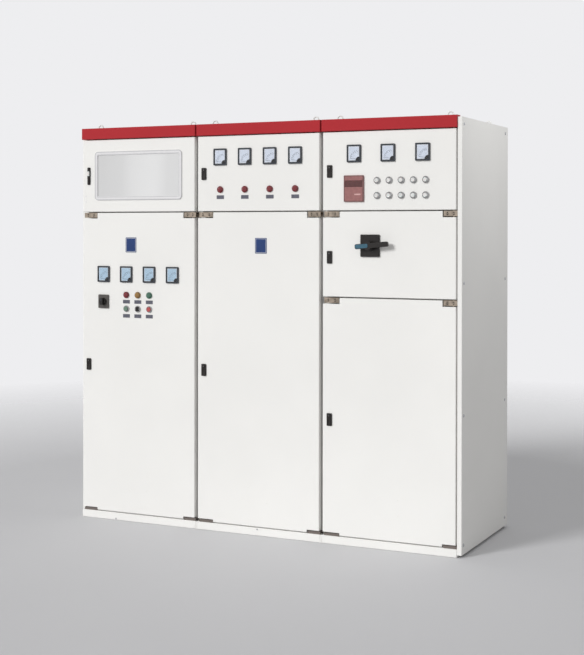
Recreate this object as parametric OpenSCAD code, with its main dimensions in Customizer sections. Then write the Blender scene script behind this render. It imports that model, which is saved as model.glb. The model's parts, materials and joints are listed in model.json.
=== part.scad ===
// Row of three floor-standing low-voltage distribution cubicles with hinged instrument doors.
// Millimetres, +Z up, door fronts towards -Y, +X to the right of someone facing the doors.
// The origin lies on the floor at the centre of the middle base frame.

/* [Row] */
// Width of one cubicle
cubicle_w = 750; // [650:10:900]
// Depth from the door fronts to the back
cubicle_d = 765; // [700:5:1000]
// Height to the top of the headers
cubicle_h = 2200; // [1800:10:2400]
// Slit between neighbouring cubicles
cubicle_slit = 1; // [0.5:0.5:3]
// Setback of the frame behind the door fronts
frame_setback = 40; // [38:1:50]

/* [Sheet metal] */
// Thickness of doors, panels, headers and roof covers
sheet_t = 2; // [1.5:0.1:2.5]
// Outside radius of a folded edge
bend_r = 4; // [3:0.5:6]

/* [Frame] */
// Side of a frame profile
profile_w = 50; // [40:1:55]
// Wall of a frame profile
profile_t = 2.5; // [2:0.5:3]
// Width of the turned-in lips of a frame profile
profile_lip = 14; // [10:1:18]
// Height of the base rails
base_h = 60; // [54:1:75]
// Wall of the base rails
base_t = 3; // [2.5:0.5:5]
// Diameter of an anchor hole
anchor_d = 14; // [12:1:18]
// Distance between the anchor holes across one cubicle
anchor_span = 600; // [500:10:640]

/* [Panels] */
// Depth of a rear panel's folded edge
rear_d = 12; // [8:1:20]
// Height of a rear panel's lower edge
rear_foot_h = 10; // [5:1:40]
// Depth of a roof cover's folded edge
roof_d = 12; // [8:1:20]
// Drop of the roof below the top of the headers
roof_drop = 10; // [5:1:20]
// Distance of an end panel's face outside its cubicle
end_out = 22; // [16:1:28]
// Height of an end panel's lower edge
end_foot_h = 14; // [5:1:30]
// Slit between a plinth strip and the door above it
plinth_gap = 5; // [5:1:8]

/* [Headers] */
// Height of a header
header_h = 62; // [56:1:80]
// Slit between a header and the door under it
header_gap = 5; // [5:1:10]
// Distance of a header's face in front of the doors
header_proud = 8; // [2:1:15]

/* [Lifting eyes] */
// Diameter of the rod of a lifting eye
eye_rod_d = 8; // [6:1:12]
// Inside diameter of a lifting eye
eye_inner_d = 20; // [18:1:30]
// Diameter of a lifting eye's collar
eye_collar_d = 20; // [18:1:30]
// Thickness of a lifting eye's collar
eye_collar_h = 6; // [5:1:10]
// Distance between the lifting eyes across one cubicle
eye_span_x = 610; // [500:10:640]
// Distance between the lifting eyes along the depth
eye_span_y = 620; // [500:10:640]

/* [Doors] */
// Inset of a door from the edges of its cubicle
door_inset = 10; // [10:1:14]
// Depth of a door's folded edge
door_d = 26; // [24:1:28]
// Width of a door's turned-in lip
door_lip = 14; // [10:1:18]
// Slit between one door and the next below it
door_gap = 6; // [5:1:10]
// Height of the lowest doors' underside
door_foot_h = 47; // [42:1:50]
// Height of an upper door
upper_door_h = 404; // [340:1:480]
// Height of the middle door
middle_door_h = 440; // [360:1:520]

/* [Hinges] */
// Distance of a hinge axis from the right edge of its door
hinge_inset = 15; // [14:0.5:16]
// Distance of a hinge axis behind the door fronts
hinge_back = 8.5; // [8:0.5:8.5]
// Diameter of a hinge pin
hinge_pin_d = 8; // [6:0.5:10]
// Running clearance of a hinge pin in its door, on the radius
hinge_clear = 0.06; // [0.02:0.01:0.1]
// Reach of a hinge pin into its door
hinge_pin_reach = 12; // [8:1:16]
// Wall of a door bracket
bracket_t = 4; // [3:0.5:5]
// Setback of a door bracket behind the door fronts
bracket_setback = 4; // [2:0.5:5]
// Room round a door bracket
bracket_clear = 5; // [5:0.5:8]
// Height of the brackets between two doors
bracket_h = 27; // [22:1:34]
// Height of the brackets under the lowest doors, above the underside of the doors
foot_bracket_h = 9; // [8:1:14]
// Width of a bracket on the hinge side
hinge_bracket_w = 72; // [60:1:90]
// Width of a bracket on the lock side
keeper_w = 84; // [60:1:95]
// Distance of a bracket on the lock side from the left edge of its door
keeper_inset = 7; // [4:1:12]

/* [Window] */
// Distance of the window's gasket from the sides of its door
window_margin_x = 80; // [70:1:150]
// Distance of the window's gasket from the top and the underside of its door
window_margin_z = 65.5; // [50:0.5:100]
// Corner radius of the gasket
window_r = 22; // [18:1:40]
// Width of the gasket's lip on the door
gasket_lip = 9; // [6:1:12]
// Width of the gasket between the door and the pane
gasket_wall = 6; // [4:1:8]
// Height of the gasket above the sheet on either side
gasket_rise = 4; // [3:0.5:6]
// Thickness of the pane
pane_t = 4; // [3:0.5:6]
// Bite of the gasket on the pane
pane_bite = 5; // [3:0.5:6]

/* [Meters] */
// Width of a meter's bezel
meter_w = 78; // [72:1:100]
// Height of a meter's bezel
meter_h = 90; // [72:1:100]
// Height of a meter's bezel above the door
meter_proud = 8; // [6:1:20]
// Width of the bezel round a dial
meter_rim = 6; // [4:0.5:9]
// Depth of a dial behind the bezel
meter_recess = 3; // [2:0.5:5]
// Depth of a meter's case behind the bezel
meter_case_d = 52; // [35:1:70]
// Spacing of the meters in a row of four
meter_pitch = 150; // [120:1:155]
// Spacing of the meters in a row of three
wide_meter_pitch = 188; // [150:1:195]
// Height of the meters on an upper door, as a share of the door
upper_meter_share = 0.722; // [0.7:0.001:0.75]
// Drop of the meters below the top of a lower door
lower_meter_drop = 343; // [200:1:500]

/* [Lamps and buttons] */
// Diameter of a lamp's bezel
lamp_d = 36; // [29:1:40]
// Diameter of a lamp's lens
lamp_lens_d = 29; // [22:1:32]
// Diameter of a lamp's neck in the door
lamp_neck_d = 22; // [20:0.5:24]
// Height of a lamp's bezel above the door
lamp_bezel_h = 6; // [3:0.5:8]
// Width of the chamfer on a lamp's bezel
lamp_chamfer_w = 3; // [1:0.5:4]
// Height of the chamfer on a lamp's bezel
lamp_chamfer_h = 2; // [1:0.5:3]
// Height of a button's cap above its bezel
button_cap_h = 4; // [2:0.5:6]
// Height of a lamp's lens above its bezel
lamp_lens_h = 8; // [4:0.5:12]
// Diameter of a lamp's nut
lamp_nut_d = 32; // [28:0.5:36]
// Thickness of a lamp's nut
lamp_nut_h = 8; // [5:0.5:10]
// Depth of a lamp's case behind the door front
lamp_case_d = 46; // [30:1:55]
// Spacing of the lamps over the push buttons
button_pitch = 75; // [50:1:80]
// Drop of the lamps over the push buttons below the top of the lower door
lower_lamp_drop = 458; // [430:1:600]
// Spacing of the two rows of small fittings
fitting_row_pitch = 77; // [60:1:80]
// Height of the row of four lamps on an upper door, as a share of the door
upper_lamp_share = 0.288; // [0.2:0.001:0.4]
// Spacing of the lamps in the block of ten
block_lamp_pitch = 66; // [50:1:68]
// Distance of the block of ten right of the door's centre line
block_lamp_x = 72; // [60:1:85]
// Height of the middle of the block of ten, as a share of the door
block_lamp_share = 0.281; // [0.24:0.001:0.32]
// Width of the grip on the small turn switch
turn_grip_w = 8; // [6:0.5:10]

/* [Selector switch] */
// Width of the selector's plate
selector_w = 66; // [48:1:80]
// Height of the selector's plate
selector_h = 76; // [48:1:90]
// Thickness of the selector's plate
selector_t = 8; // [5:0.5:12]
// Diameter of the selector's knob
selector_knob_d = 40; // [30:1:46]
// Height of the selector's knob
selector_knob_h = 22; // [15:1:30]
// Height of the disc under the knob's finger bar
selector_disc_h = 11; // [5:0.5:14]
// Width of the knob's finger bar
selector_grip_w = 18; // [10:0.5:24]
// Diameter of the selector's spindle
selector_spindle_d = 10; // [6:0.5:12]
// Drop of the selector below the top of the lower door
selector_drop = 497; // [450:1:600]
// Depth of the selector's case behind the door front
selector_case_d = 58; // [40:1:70]

/* [Controller] */
// Width of the controller's front
controller_w = 110; // [96:1:120]
// Height of the controller's front
controller_h = 136; // [96:1:144]
// Height of the controller's front above the door
controller_proud = 8; // [6:1:20]
// Depth of the controller's case behind the door front
controller_case_d = 62; // [40:1:75]
// Height of the controller's display
display_h = 34; // [20:1:40]
// Width of the controller's front beside the display
display_margin = 5; // [4:1:12]
// Drop of the display below the top of the controller
display_drop = 26; // [10:1:60]
// Height of the controller on its door, as a share of the door
controller_share = 0.276; // [0.26:0.001:0.3]

/* [Isolator handle] */
// Width of the handle's base
isolator_w = 104; // [80:1:120]
// Height of the handle's base
isolator_h = 114; // [80:1:130]
// Thickness of the handle's base
isolator_t = 9; // [6:1:24]
// Distance of the handle left of the door's centre line
isolator_x = 97; // [0:1:200]
// Drop of the handle below the top of the middle door
isolator_drop = 175; // [140:1:220]
// Diameter of the handle's boss
isolator_boss_d = 52; // [40:1:60]
// Diameter of the handle's neck in the door
isolator_neck_d = 26; // [20:1:36]
// Height of the handle's boss
isolator_boss_h = 8; // [5:1:12]
// Diameter of the lever's hub
lever_hub_d = 44; // [32:1:60]
// Height of the lever's hub
lever_hub_h = 26; // [20:1:32]
// Reach of the lever's long arm
lever_long = 112; // [80:1:130]
// Reach of the lever's short arm
lever_short = 69; // [50:1:100]
// Height of the lever's grip
lever_h = 26; // [18:1:32]
// Thickness of the lever's grip
lever_t = 16; // [10:1:20]
// Corner radius of the lever's ends
lever_r = 9; // [4:0.5:9]
// Diameter of the handle's shaft
lever_shaft_d = 12; // [8:1:14]
// Tilt of the lever at rest
lever_rest_deg = 5; // [0:1:15]

/* [Locks] */
// Width of a lock's front
lock_w = 28; // [24:1:40]
// Height of a lock's front
lock_h = 65; // [50:1:90]
// Height of a lock's front above the door
lock_proud = 6; // [5:1:14]
// Diameter of a lock's barrel
lock_barrel_d = 20; // [16:1:22]
// Depth of a lock's barrel behind the door front
lock_depth = 33; // [28:1:34]
// Distance of a lock from the left edge of its door
lock_inset = 39.5; // [34:0.5:50]
// Drop of the lower doors' locks below the middle of the door
lock_drop = 16; // [0:1:40]
// Width of the slim lock on the window door
slim_lock_w = 18; // [14:1:24]
// Height of the slim lock on the window door
slim_lock_h = 98; // [80:1:120]
// Thickness of the slim lock's plate
slim_plate_t = 4; // [3:0.5:6]
// Height of the slim lock's raised middle above its plate
slim_rise = 4; // [2:0.5:6]
// Diameter of the slim lock's barrel
slim_barrel_d = 10; // [8:0.5:14]

/* [Hidden] */

// Roundness of circles and fillets
$fn = 48;

// Overrun of every cut
over = 1;

// Clearance of an instrument's case in its cut-out
case_clear = 0.5;

// Clearance between a turning piece and the face behind it
turn_gap = 0.4;

// Clearance of headers and plinths from an end panel's strip
strip_clear = 1;

// Clearance of a hinge pin through a header
header_pin_clear = 1.5;

// Corner radius of instrument fronts
front_r = 4;

// Colours as painted and moulded
white_paint = "#eeeeec";
red_paint = "#b92d37";
zinc = "#968c73";
black_plastic = "#2d2826";
steel = "#8d9092";
rubber_grey = "#8f9294";
clear_pane = "#d7dadc";
lamp_red = "#82302f";
lamp_grey = "#c8cacc";
controller_brown = "#8c5f5f";

// Places along the row, from left to right
cubicle_xs = [-cubicle_w, 0, cubicle_w];
row_w = len(cubicle_xs) * cubicle_w;
frame_w = cubicle_w - cubicle_slit;
door_w = cubicle_w - 2 * door_inset;
end_return_w = end_out + cubicle_slit / 2;
end_strip_w = end_return_w + sheet_t;
trim_w = frame_w - 2 * (sheet_t + strip_clear);

// Planes across the depth
frame_d = cubicle_d - frame_setback - rear_d;
frame_front_y = -frame_d / 2;
frame_rear_y = frame_d / 2;
door_front_y = frame_front_y - frame_setback;
rear_y = frame_rear_y + rear_d;
hinge_y = door_front_y + hinge_back;

// Heights
roof_z = cubicle_h - roof_drop;
frame_top_z = roof_z - roof_d;
top_rail_z = frame_top_z - profile_w;
header_z = cubicle_h - header_h;
upper_top_z = header_z - header_gap;
upper_foot_z = upper_top_z - upper_door_h;
upper_split_h = upper_foot_z - door_gap / 2;
lower_top_z = upper_foot_z - door_gap;
middle_foot_z = lower_top_z - middle_door_h;
middle_split_h = middle_foot_z - door_gap / 2;
third_top_z = middle_foot_z - door_gap;

// Heights of the doors that fill the rest of their cubicles
tall_door_h = lower_top_z - door_foot_h;
third_door_h = third_top_z - door_foot_h;
plinth_h = door_foot_h - plinth_gap;

// Notches that leave room for the brackets
notch_h = bracket_h + 2 * bracket_clear - door_gap;
foot_notch_h = foot_bracket_h + bracket_clear;
hinge_axis_x = door_w / 2 - hinge_inset;
hinge_bracket_x = door_w / 2 + bracket_clear - hinge_bracket_w;
hinge_notch_w = hinge_bracket_w;
keeper_x = keeper_inset - door_w / 2;
keeper_notch_w = keeper_inset + keeper_w + bracket_clear;
bracket_reach = frame_setback - bracket_setback;

// Places on the doors, from the centre line and the underside of a door
lock_x = lock_inset - door_w / 2;
upper_meter_z = upper_door_h * upper_meter_share;
upper_lamp_z = upper_door_h * upper_lamp_share;
block_lamp_z = upper_door_h * block_lamp_share;
controller_z = upper_door_h * controller_share;
lower_meter_z = tall_door_h - lower_meter_drop;
lower_lamp_z = tall_door_h - lower_lamp_drop;
button_z = lower_lamp_z - fitting_row_pitch;
selector_z = tall_door_h - selector_drop;
isolator_z = middle_door_h - isolator_drop;

// Window cut-out and pane
window_w = door_w - 2 * window_margin_x;
window_h = upper_door_h - 2 * window_margin_z;
window_cut_w = window_w - 2 * gasket_lip;
window_cut_h = window_h - 2 * gasket_lip;
window_cut_r = window_r - gasket_lip;
sight_w = window_cut_w - 2 * gasket_wall - 2 * pane_bite;
sight_h = window_cut_h - 2 * gasket_wall - 2 * pane_bite;
pane_w = sight_w + 2 * pane_bite;
pane_h = sight_h + 2 * pane_bite;
pane_r = window_cut_r - gasket_wall;
pane_y = (sheet_t - pane_t) / 2;

// Instrument cases behind the door
meter_case_w = meter_w - 2 * meter_rim;
meter_case_h = meter_h - 2 * meter_rim;
selector_case_w = selector_w - 2 * front_r;
controller_case_w = controller_w - 2 * front_r;
controller_case_h = controller_h - 2 * front_r;
display_w = controller_w - 2 * display_margin;
isolator_reach = isolator_t + isolator_boss_h + turn_gap;

// Rows of meters, lamps and buttons, measured from the centre line of a door
row_of_four_xs = [for (k = [-3 : 2 : 3]) k * meter_pitch / 2];
row_of_three_xs = [for (k = [-1 : 1]) k * wide_meter_pitch];
button_xs = [for (k = [-1 : 1]) k * button_pitch];
block_lamp_xs = [for (k = [-2 : 2]) block_lamp_x + k * block_lamp_pitch];
block_lamp_zs = [for (k = [-1, 1]) block_lamp_z + k * fitting_row_pitch / 2];

// The selector and the controller stand under the first meters of their rows
selector_x = row_of_four_xs[0];
controller_x = row_of_three_xs[0];

// A shape drawn in width and height, given a depth from y0 towards the back
module upright(y0, depth) {
    translate([0, y0 + depth, 0])
        rotate([90, 0, 0])
            linear_extrude(depth)
                children();
}

// A shape drawn in depth and height, extruded along the row
module along_row(length) {
    rotate([90, 0, 90])
        linear_extrude(length)
            children();
}

// Rectangle about the origin with round corners
module round_rect(w, h, r) {
    square([w - 2 * r, h], center = true);
    square([w, h - 2 * r], center = true);
    for (x = [-1, 1], y = [-1, 1])
        translate([x * (w / 2 - r), y * (h / 2 - r)])
            circle(r);
}

// Rectangle from y = 0 upwards whose two corners on y = 0 are rounded by the fold
module folded_edge(w, d) {
    translate([-w / 2, bend_r])
        square([w, d - bend_r]);
    translate([bend_r - w / 2, 0])
        square([w - 2 * bend_r, d]);
    for (x = [-1, 1])
        translate([x * (w / 2 - bend_r), bend_r])
            circle(bend_r);
}

// Cold-rolled profile: web on x = 0, two flanges and two turned-in lips
module lipped_profile(w, d) {
    lip = profile_lip;
    t = profile_t;
    polygon([
        [0, 0], [w, 0], [w, lip], [w - t, lip], [w - t, t], [t, t],
        [t, d - t], [w - t, d - t], [w - t, d - lip], [w, d - lip], [w, d], [0, d]
    ]);
}

// Plain channel for the base: web on x = 0 and two flanges
module channel_profile(w, d) {
    t = base_t;
    polygon([[0, 0], [w, 0], [w, t], [t, t], [t, d - t], [w, d - t], [w, d], [0, d]]);
}

// Folded sheet pan, front face on y = 0, centred in width, standing on z = 0
module sheet_pan(w, h, d) {
    difference() {
        pan_blank(w, h, d);
        translate([0, 0, h / 2])
            upright(sheet_t, d)
                square([w - 2 * sheet_t, h - 2 * sheet_t], center = true);
    }
}

// Block with all four front edges rounded by the fold
module pan_blank(w, h, d) {
    intersection() {
        linear_extrude(h)
            folded_edge(w, d);
        translate([-w / 2, 0, h / 2])
            along_row(w)
                rotate([0, 0, -90])
                    folded_edge(h, d);
    }
}

// One notched corner of a door's outline, drawn inwards by a margin
function notched(side, edge_x, z, rise, notch_w, notch_h) =
    notch_h > 0
        ? [[side * edge_x, z + rise * notch_h], [side * (edge_x - notch_w), z + rise * notch_h],
           [side * (edge_x - notch_w), z]]
        : [[side * edge_x, z]];

function reversed(points) = [for (k = [len(points) - 1 : -1 : 0]) points[k]];

// Outline of a door with room for its brackets, all sides moved inwards by a margin
function door_outline(h, top_h, foot_h, margin) =
    let (edge_x = door_w / 2 - margin)
    concat(
        notched(-1, edge_x, margin, 1, keeper_notch_w, foot_h),
        reversed(notched(1, edge_x, margin, 1, hinge_notch_w, foot_h)),
        notched(1, edge_x, h - margin, -1, hinge_notch_w, top_h),
        reversed(notched(-1, edge_x, h - margin, -1, keeper_notch_w, top_h))
    );

// Folded door with turned-in lips and two hinge holes; children are cut out of it
module door_pan(h, top_h, foot_h) {
    difference() {
        intersection() {
            pan_blank(door_w, h, door_d);
            upright(0, door_d)
                polygon(door_outline(h, top_h, foot_h, 0));
        }
        upright(sheet_t, door_d - 2 * sheet_t)
            polygon(door_outline(h, top_h, foot_h, sheet_t));
        upright(sheet_t, door_d)
            polygon(door_outline(h, top_h, foot_h, door_lip));
        translate([hinge_axis_x, hinge_back, -over])
            cylinder(r = hinge_pin_d / 2 + hinge_clear, h = h + 2 * over);
        children();
    }
}

// Rectangular cut-out through a door's front sheet
module case_hole(x, z, w, h) {
    translate([x, 0, z])
        upright(-over, sheet_t + 2 * over)
            square([w + 2 * case_clear, h + 2 * case_clear], center = true);
}

// Round cut-out through a door's front sheet
module neck_hole(x, z, d) {
    translate([x, 0, z])
        upright(-over, sheet_t + 2 * over)
            circle(d = d + 2 * case_clear);
}

// Places children on the front of a door: cubicle index and height of the door's underside
module on_door(index, foot_z) {
    translate([cubicle_xs[index], door_front_y, foot_z])
        children();
}

// Frame

module posts() {
    color(white_paint)
        for (x = cubicle_xs, side = [0, 1], y = [frame_front_y, frame_rear_y - profile_w])
            translate([x, y, base_h])
                mirror([side, 0, 0])
                    translate([-frame_w / 2, 0, 0])
                        linear_extrude(top_rail_z - base_h)
                            lipped_profile(profile_w, profile_w);
}

module top_rails() {
    color(white_paint)
        for (x = cubicle_xs, side = [0, 1])
            translate([x - frame_w / 2, 0, top_rail_z])
                mirror([0, side, 0])
                    translate([0, frame_front_y, 0])
                        along_row(frame_w)
                            lipped_profile(profile_w, profile_w);
}

module base_rails() {
    color(white_paint)
        for (x = cubicle_xs, side = [0, 1])
            mirror([0, side, 0])
                translate([x, frame_front_y, 0])
                    base_rail();
}

module base_rail() {
    difference() {
        translate([-frame_w / 2, 0, 0])
            along_row(frame_w)
                channel_profile(profile_w, base_h);
        for (x = [-1, 1])
            translate([x * anchor_span / 2, profile_w / 2, -over])
                cylinder(d = anchor_d, h = base_t + 2 * over);
    }
}

module side_rails() {
    color(white_paint)
        for (x = cubicle_xs, side = [0, 1])
            translate([x, 0, 0])
                mirror([side, 0, 0])
                    translate([-frame_w / 2, 0, 0]) {
                        side_rail()
                            channel_profile(profile_w, base_h);
                        translate([0, 0, top_rail_z])
                            side_rail()
                                lipped_profile(profile_w, profile_w);
                    }
}

module side_rail() {
    rotate([90, 0, 0])
        linear_extrude(frame_d - 2 * profile_w, center = true)
            children();
}

module door_rails() {
    rail_w = frame_w - 2 * profile_w;
    color(white_paint) {
        for (x = cubicle_xs)
            door_rail(x, upper_split_h, rail_w);
        door_rail(cubicle_xs[2], middle_split_h, rail_w);
    }
}

module door_rail(x, split_h, rail_w) {
    translate([x - rail_w / 2, frame_front_y, split_h - profile_w / 2])
        along_row(rail_w)
            lipped_profile(profile_w, profile_w);
}

// Panels

module roof_covers() {
    cover_d = rear_y - frame_front_y;
    color(white_paint)
        for (x = cubicle_xs)
            translate([x, frame_front_y, roof_z])
                rotate([-90, 0, 0])
                    sheet_pan(frame_w, cover_d, roof_d);
}

module rear_panels() {
    color(white_paint)
        for (x = cubicle_xs)
            translate([x, rear_y, rear_foot_h])
                rotate([0, 0, 180])
                    sheet_pan(frame_w, frame_top_z - rear_foot_h, rear_d);
}

module end_panel_left() {
    color(white_paint)
        mirror([1, 0, 0])
            end_panel(frame_front_y);
}

module end_panel_right() {
    color(white_paint)
        end_panel(door_front_y);
}

// Folded sheet over one end of the row, from a front plane to the back, closed on top
module end_panel(front_y) {
    panel_d = rear_y - front_y;
    translate([row_w / 2 + end_out, front_y, 0]) {
        translate([0, 0, end_foot_h])
            linear_extrude(roof_z - end_foot_h)
                end_outline(panel_d, frame_front_y - front_y);
        translate([0, 0, roof_z - sheet_t])
            linear_extrude(sheet_t)
                end_top(panel_d);
    }
}

// Plan of an end panel: side, strips in front and behind, and a return from the front to the frame
module end_outline(panel_d, setback) {
    intersection() {
        union() {
            translate([-sheet_t, 0])
                square([sheet_t, panel_d]);
            for (y = [0, panel_d - sheet_t])
                translate([-end_return_w, y])
                    square([end_return_w, sheet_t]);
            if (setback > 0)
                translate([-end_strip_w, 0])
                    square([sheet_t, setback]);
        }
        end_folds(panel_d);
    }
}

// Plan of the top of an end panel
module end_top(panel_d) {
    intersection() {
        translate([-end_return_w, 0])
            square([end_return_w, panel_d]);
        end_folds(panel_d);
    }
}

// Plan of the space inside an end panel's folds, round at the outer corners
module end_folds(panel_d) {
    translate([-end_strip_w, 0])
        square([end_strip_w - bend_r, panel_d]);
    translate([-end_strip_w, bend_r])
        square([end_strip_w, panel_d - 2 * bend_r]);
    for (y = [bend_r, panel_d - bend_r])
        translate([-bend_r, y])
            circle(bend_r);
}

// Sealing strips in the slits between neighbouring frames
module joint_seals() {
    color(rubber_grey)
        for (x = [-cubicle_w / 2, cubicle_w / 2], side = [0, 1])
            mirror([0, side, 0])
                translate([x - cubicle_slit / 2, frame_front_y + profile_t, base_h])
                    cube([cubicle_slit, profile_w - 2 * profile_t, top_rail_z - base_h]);
}

module headers() {
    color(red_paint)
        for (x = cubicle_xs)
            translate([x, door_front_y - header_proud, header_z])
                difference() {
                    sheet_pan(trim_w, header_h, frame_setback + header_proud);
                    translate([hinge_axis_x, hinge_back + header_proud, -over])
                        cylinder(r = hinge_pin_d / 2 + header_pin_clear, h = sheet_t + 2 * over);
                }
}

// Folded strips on the base rails, in the plane of the doors
module plinths() {
    color(white_paint)
        for (x = cubicle_xs)
            translate([x, door_front_y, 0])
                sheet_pan(trim_w, plinth_h, frame_setback);
}

module lifting_eyes() {
    color(steel)
        for (x = cubicle_xs, sx = [-1, 1], sy = [-1, 1])
            translate([x + sx * eye_span_x / 2, sy * eye_span_y / 2, roof_z])
                lifting_eye();
}

// Ring on a collar; the collar seats on the roof cover
module lifting_eye() {
    ring_r = (eye_inner_d + eye_rod_d) / 2;
    cylinder(d = eye_collar_d, h = eye_collar_h);
    translate([0, 0, eye_collar_h + ring_r])
        rotate([90, 0, 0])
            rotate_extrude()
                translate([ring_r, 0])
                    circle(d = eye_rod_d);
}

// Brackets

// Bent strip on the frame, turned down in front: outline in depth and height
module bracket_outline(h) {
    t = bracket_t;
    r = bracket_reach;
    polygon([[0, 0], [-t, 0], [-t, h - t], [t - r, h - t], [t - r, 0], [-r, 0], [-r, h], [0, h]]);
}

module bracket(x, foot_z, w, h) {
    translate([x, frame_front_y, foot_z])
        along_row(w)
            bracket_outline(h);
}

// Bracket that stands on a plinth strip
module foot_bracket(x, w) {
    bracket(x, plinth_h, w, plinth_gap + foot_bracket_h);
}

// Angle behind a header that carries the top pin of an upper door
module header_bracket(x) {
    t = bracket_t;
    r = bracket_reach;
    translate([x, frame_front_y, header_z + sheet_t + turn_gap])
        along_row(hinge_bracket_w - bracket_clear)
            polygon([[0, 0], [-r, 0], [-r, t], [-t, t], [-t, bracket_h], [0, bracket_h]]);
}

module hinge_pin(x, low_z, high_z) {
    translate([x, hinge_y, low_z])
        cylinder(d = hinge_pin_d, h = high_z - low_z);
}

// Bracket under one door and over the next, with one pin for both
module split_hinge(x, split_h) {
    top_z = split_h + door_gap / 2 - bracket_clear;
    low_z = split_h - door_gap / 2 - notch_h;
    bracket(x + hinge_bracket_x, top_z - bracket_h, hinge_bracket_w, bracket_h);
    hinge_pin(x + hinge_axis_x, low_z - hinge_pin_reach, split_h + door_gap / 2 + hinge_pin_reach);
}

module hinge_brackets() {
    color(zinc) {
        for (x = cubicle_xs) {
            header_bracket(x + hinge_bracket_x);
            hinge_pin(x + hinge_axis_x, upper_top_z - hinge_pin_reach, header_z + bracket_t);
            split_hinge(x, upper_split_h);
            foot_bracket(x + hinge_bracket_x, hinge_bracket_w);
            hinge_pin(
                x + hinge_axis_x,
                door_foot_h + foot_bracket_h - bracket_t,
                door_foot_h + foot_notch_h + hinge_pin_reach
            );
        }
        split_hinge(cubicle_xs[2], middle_split_h);
    }
}

module keeper_brackets() {
    rise = door_gap / 2 - bracket_clear - bracket_h;
    color(zinc) {
        for (x = cubicle_xs) {
            bracket(x + keeper_x, upper_split_h + rise, keeper_w, bracket_h);
            foot_bracket(x + keeper_x, keeper_w);
        }
        bracket(cubicle_xs[2] + keeper_x, middle_split_h + rise, keeper_w, bracket_h);
    }
}

// Doors

module door_1_upper() {
    color(white_paint)
        on_door(0, upper_foot_z)
            door_pan(upper_door_h, 0, 0) {
                neck_hole(lock_x, upper_door_h / 2, slim_barrel_d);
                translate([0, 0, upper_door_h / 2])
                    upright(-over, sheet_t + 2 * over)
                        round_rect(window_cut_w, window_cut_h, window_cut_r);
            }
}

module door_1_lower() {
    color(white_paint)
        on_door(0, door_foot_h)
            door_pan(tall_door_h, notch_h, foot_notch_h) {
                neck_hole(lock_x, tall_door_h / 2 - lock_drop, lock_barrel_d);
                case_hole(selector_x, selector_z, selector_case_w, selector_case_w);
                for (x = row_of_four_xs)
                    case_hole(x, lower_meter_z, meter_case_w, meter_case_h);
                for (x = button_xs, z = [lower_lamp_z, button_z])
                    neck_hole(x, z, lamp_neck_d);
            }
}

module door_2_upper() {
    color(white_paint)
        on_door(1, upper_foot_z)
            door_pan(upper_door_h, 0, 0) {
                neck_hole(lock_x, upper_door_h / 2, lock_barrel_d);
                for (x = row_of_four_xs) {
                    case_hole(x, upper_meter_z, meter_case_w, meter_case_h);
                    neck_hole(x, upper_lamp_z, lamp_neck_d);
                }
            }
}

module door_2_lower() {
    color(white_paint)
        on_door(1, door_foot_h)
            door_pan(tall_door_h, notch_h, foot_notch_h)
                neck_hole(lock_x, tall_door_h / 2 - lock_drop, lock_barrel_d);
}

module door_3_upper() {
    color(white_paint)
        on_door(2, upper_foot_z)
            door_pan(upper_door_h, 0, 0) {
                neck_hole(lock_x, upper_door_h / 2, lock_barrel_d);
                for (x = row_of_three_xs)
                    case_hole(x, upper_meter_z, meter_case_w, meter_case_h);
                case_hole(controller_x, controller_z, controller_case_w, controller_case_h);
                for (x = block_lamp_xs, z = block_lamp_zs)
                    neck_hole(x, z, lamp_neck_d);
            }
}

module door_3_middle() {
    color(white_paint)
        on_door(2, middle_foot_z)
            door_pan(middle_door_h, notch_h, 0) {
                neck_hole(lock_x, middle_door_h / 2 - lock_drop, lock_barrel_d);
                neck_hole(-isolator_x, isolator_z, isolator_neck_d);
            }
}

module door_3_lower() {
    color(white_paint)
        on_door(2, door_foot_h)
            door_pan(third_door_h, notch_h, foot_notch_h)
                neck_hole(lock_x, third_door_h / 2 - lock_drop, lock_barrel_d);
}

// Locks

// Front plate on the door with a barrel through it
module lock(z) {
    color(black_plastic)
        translate([lock_x, 0, z]) {
            upright(-lock_proud, lock_proud)
                round_rect(lock_w, lock_h, front_r);
            upright(-over, lock_depth + over)
                circle(d = lock_barrel_d);
        }
}

// Slim plate with a raised lever
module slim_lock(z) {
    color(black_plastic)
        translate([lock_x, 0, z]) {
            upright(-slim_plate_t, slim_plate_t)
                round_rect(slim_lock_w, slim_lock_h, front_r);
            upright(-slim_plate_t - slim_rise, slim_rise)
                round_rect(slim_lock_w - front_r, slim_lock_h - front_r, front_r);
            upright(-over, lock_depth + over)
                circle(d = slim_barrel_d);
        }
}

module lock_1_upper() on_door(0, upper_foot_z) slim_lock(upper_door_h / 2);

module lock_1_lower() on_door(0, door_foot_h) lock(tall_door_h / 2 - lock_drop);

module lock_2_upper() on_door(1, upper_foot_z) lock(upper_door_h / 2);

module lock_2_lower() on_door(1, door_foot_h) lock(tall_door_h / 2 - lock_drop);

module lock_3_upper() on_door(2, upper_foot_z) lock(upper_door_h / 2);

module lock_3_middle() on_door(2, middle_foot_z) lock(middle_door_h / 2 - lock_drop);

module lock_3_lower() on_door(2, door_foot_h) lock(third_door_h / 2 - lock_drop);

// Window

// Rubber section round the cut-out: a lip on either side of the sheet and a groove for the pane
module window_gasket() {
    color(rubber_grey)
        on_door(0, upper_foot_z + upper_door_h / 2)
            difference() {
                union() {
                    upright(-gasket_rise, gasket_rise)
                        round_rect(window_w, window_h, window_r);
                    upright(0, sheet_t)
                        round_rect(window_cut_w, window_cut_h, window_cut_r);
                    upright(sheet_t, gasket_rise)
                        round_rect(window_w, window_h, window_r);
                }
                upright(-gasket_rise - over, sheet_t + 2 * gasket_rise + 2 * over)
                    round_rect(sight_w, sight_h, pane_r);
                upright(pane_y, pane_t)
                    round_rect(pane_w, pane_h, pane_r);
            }
}

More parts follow.
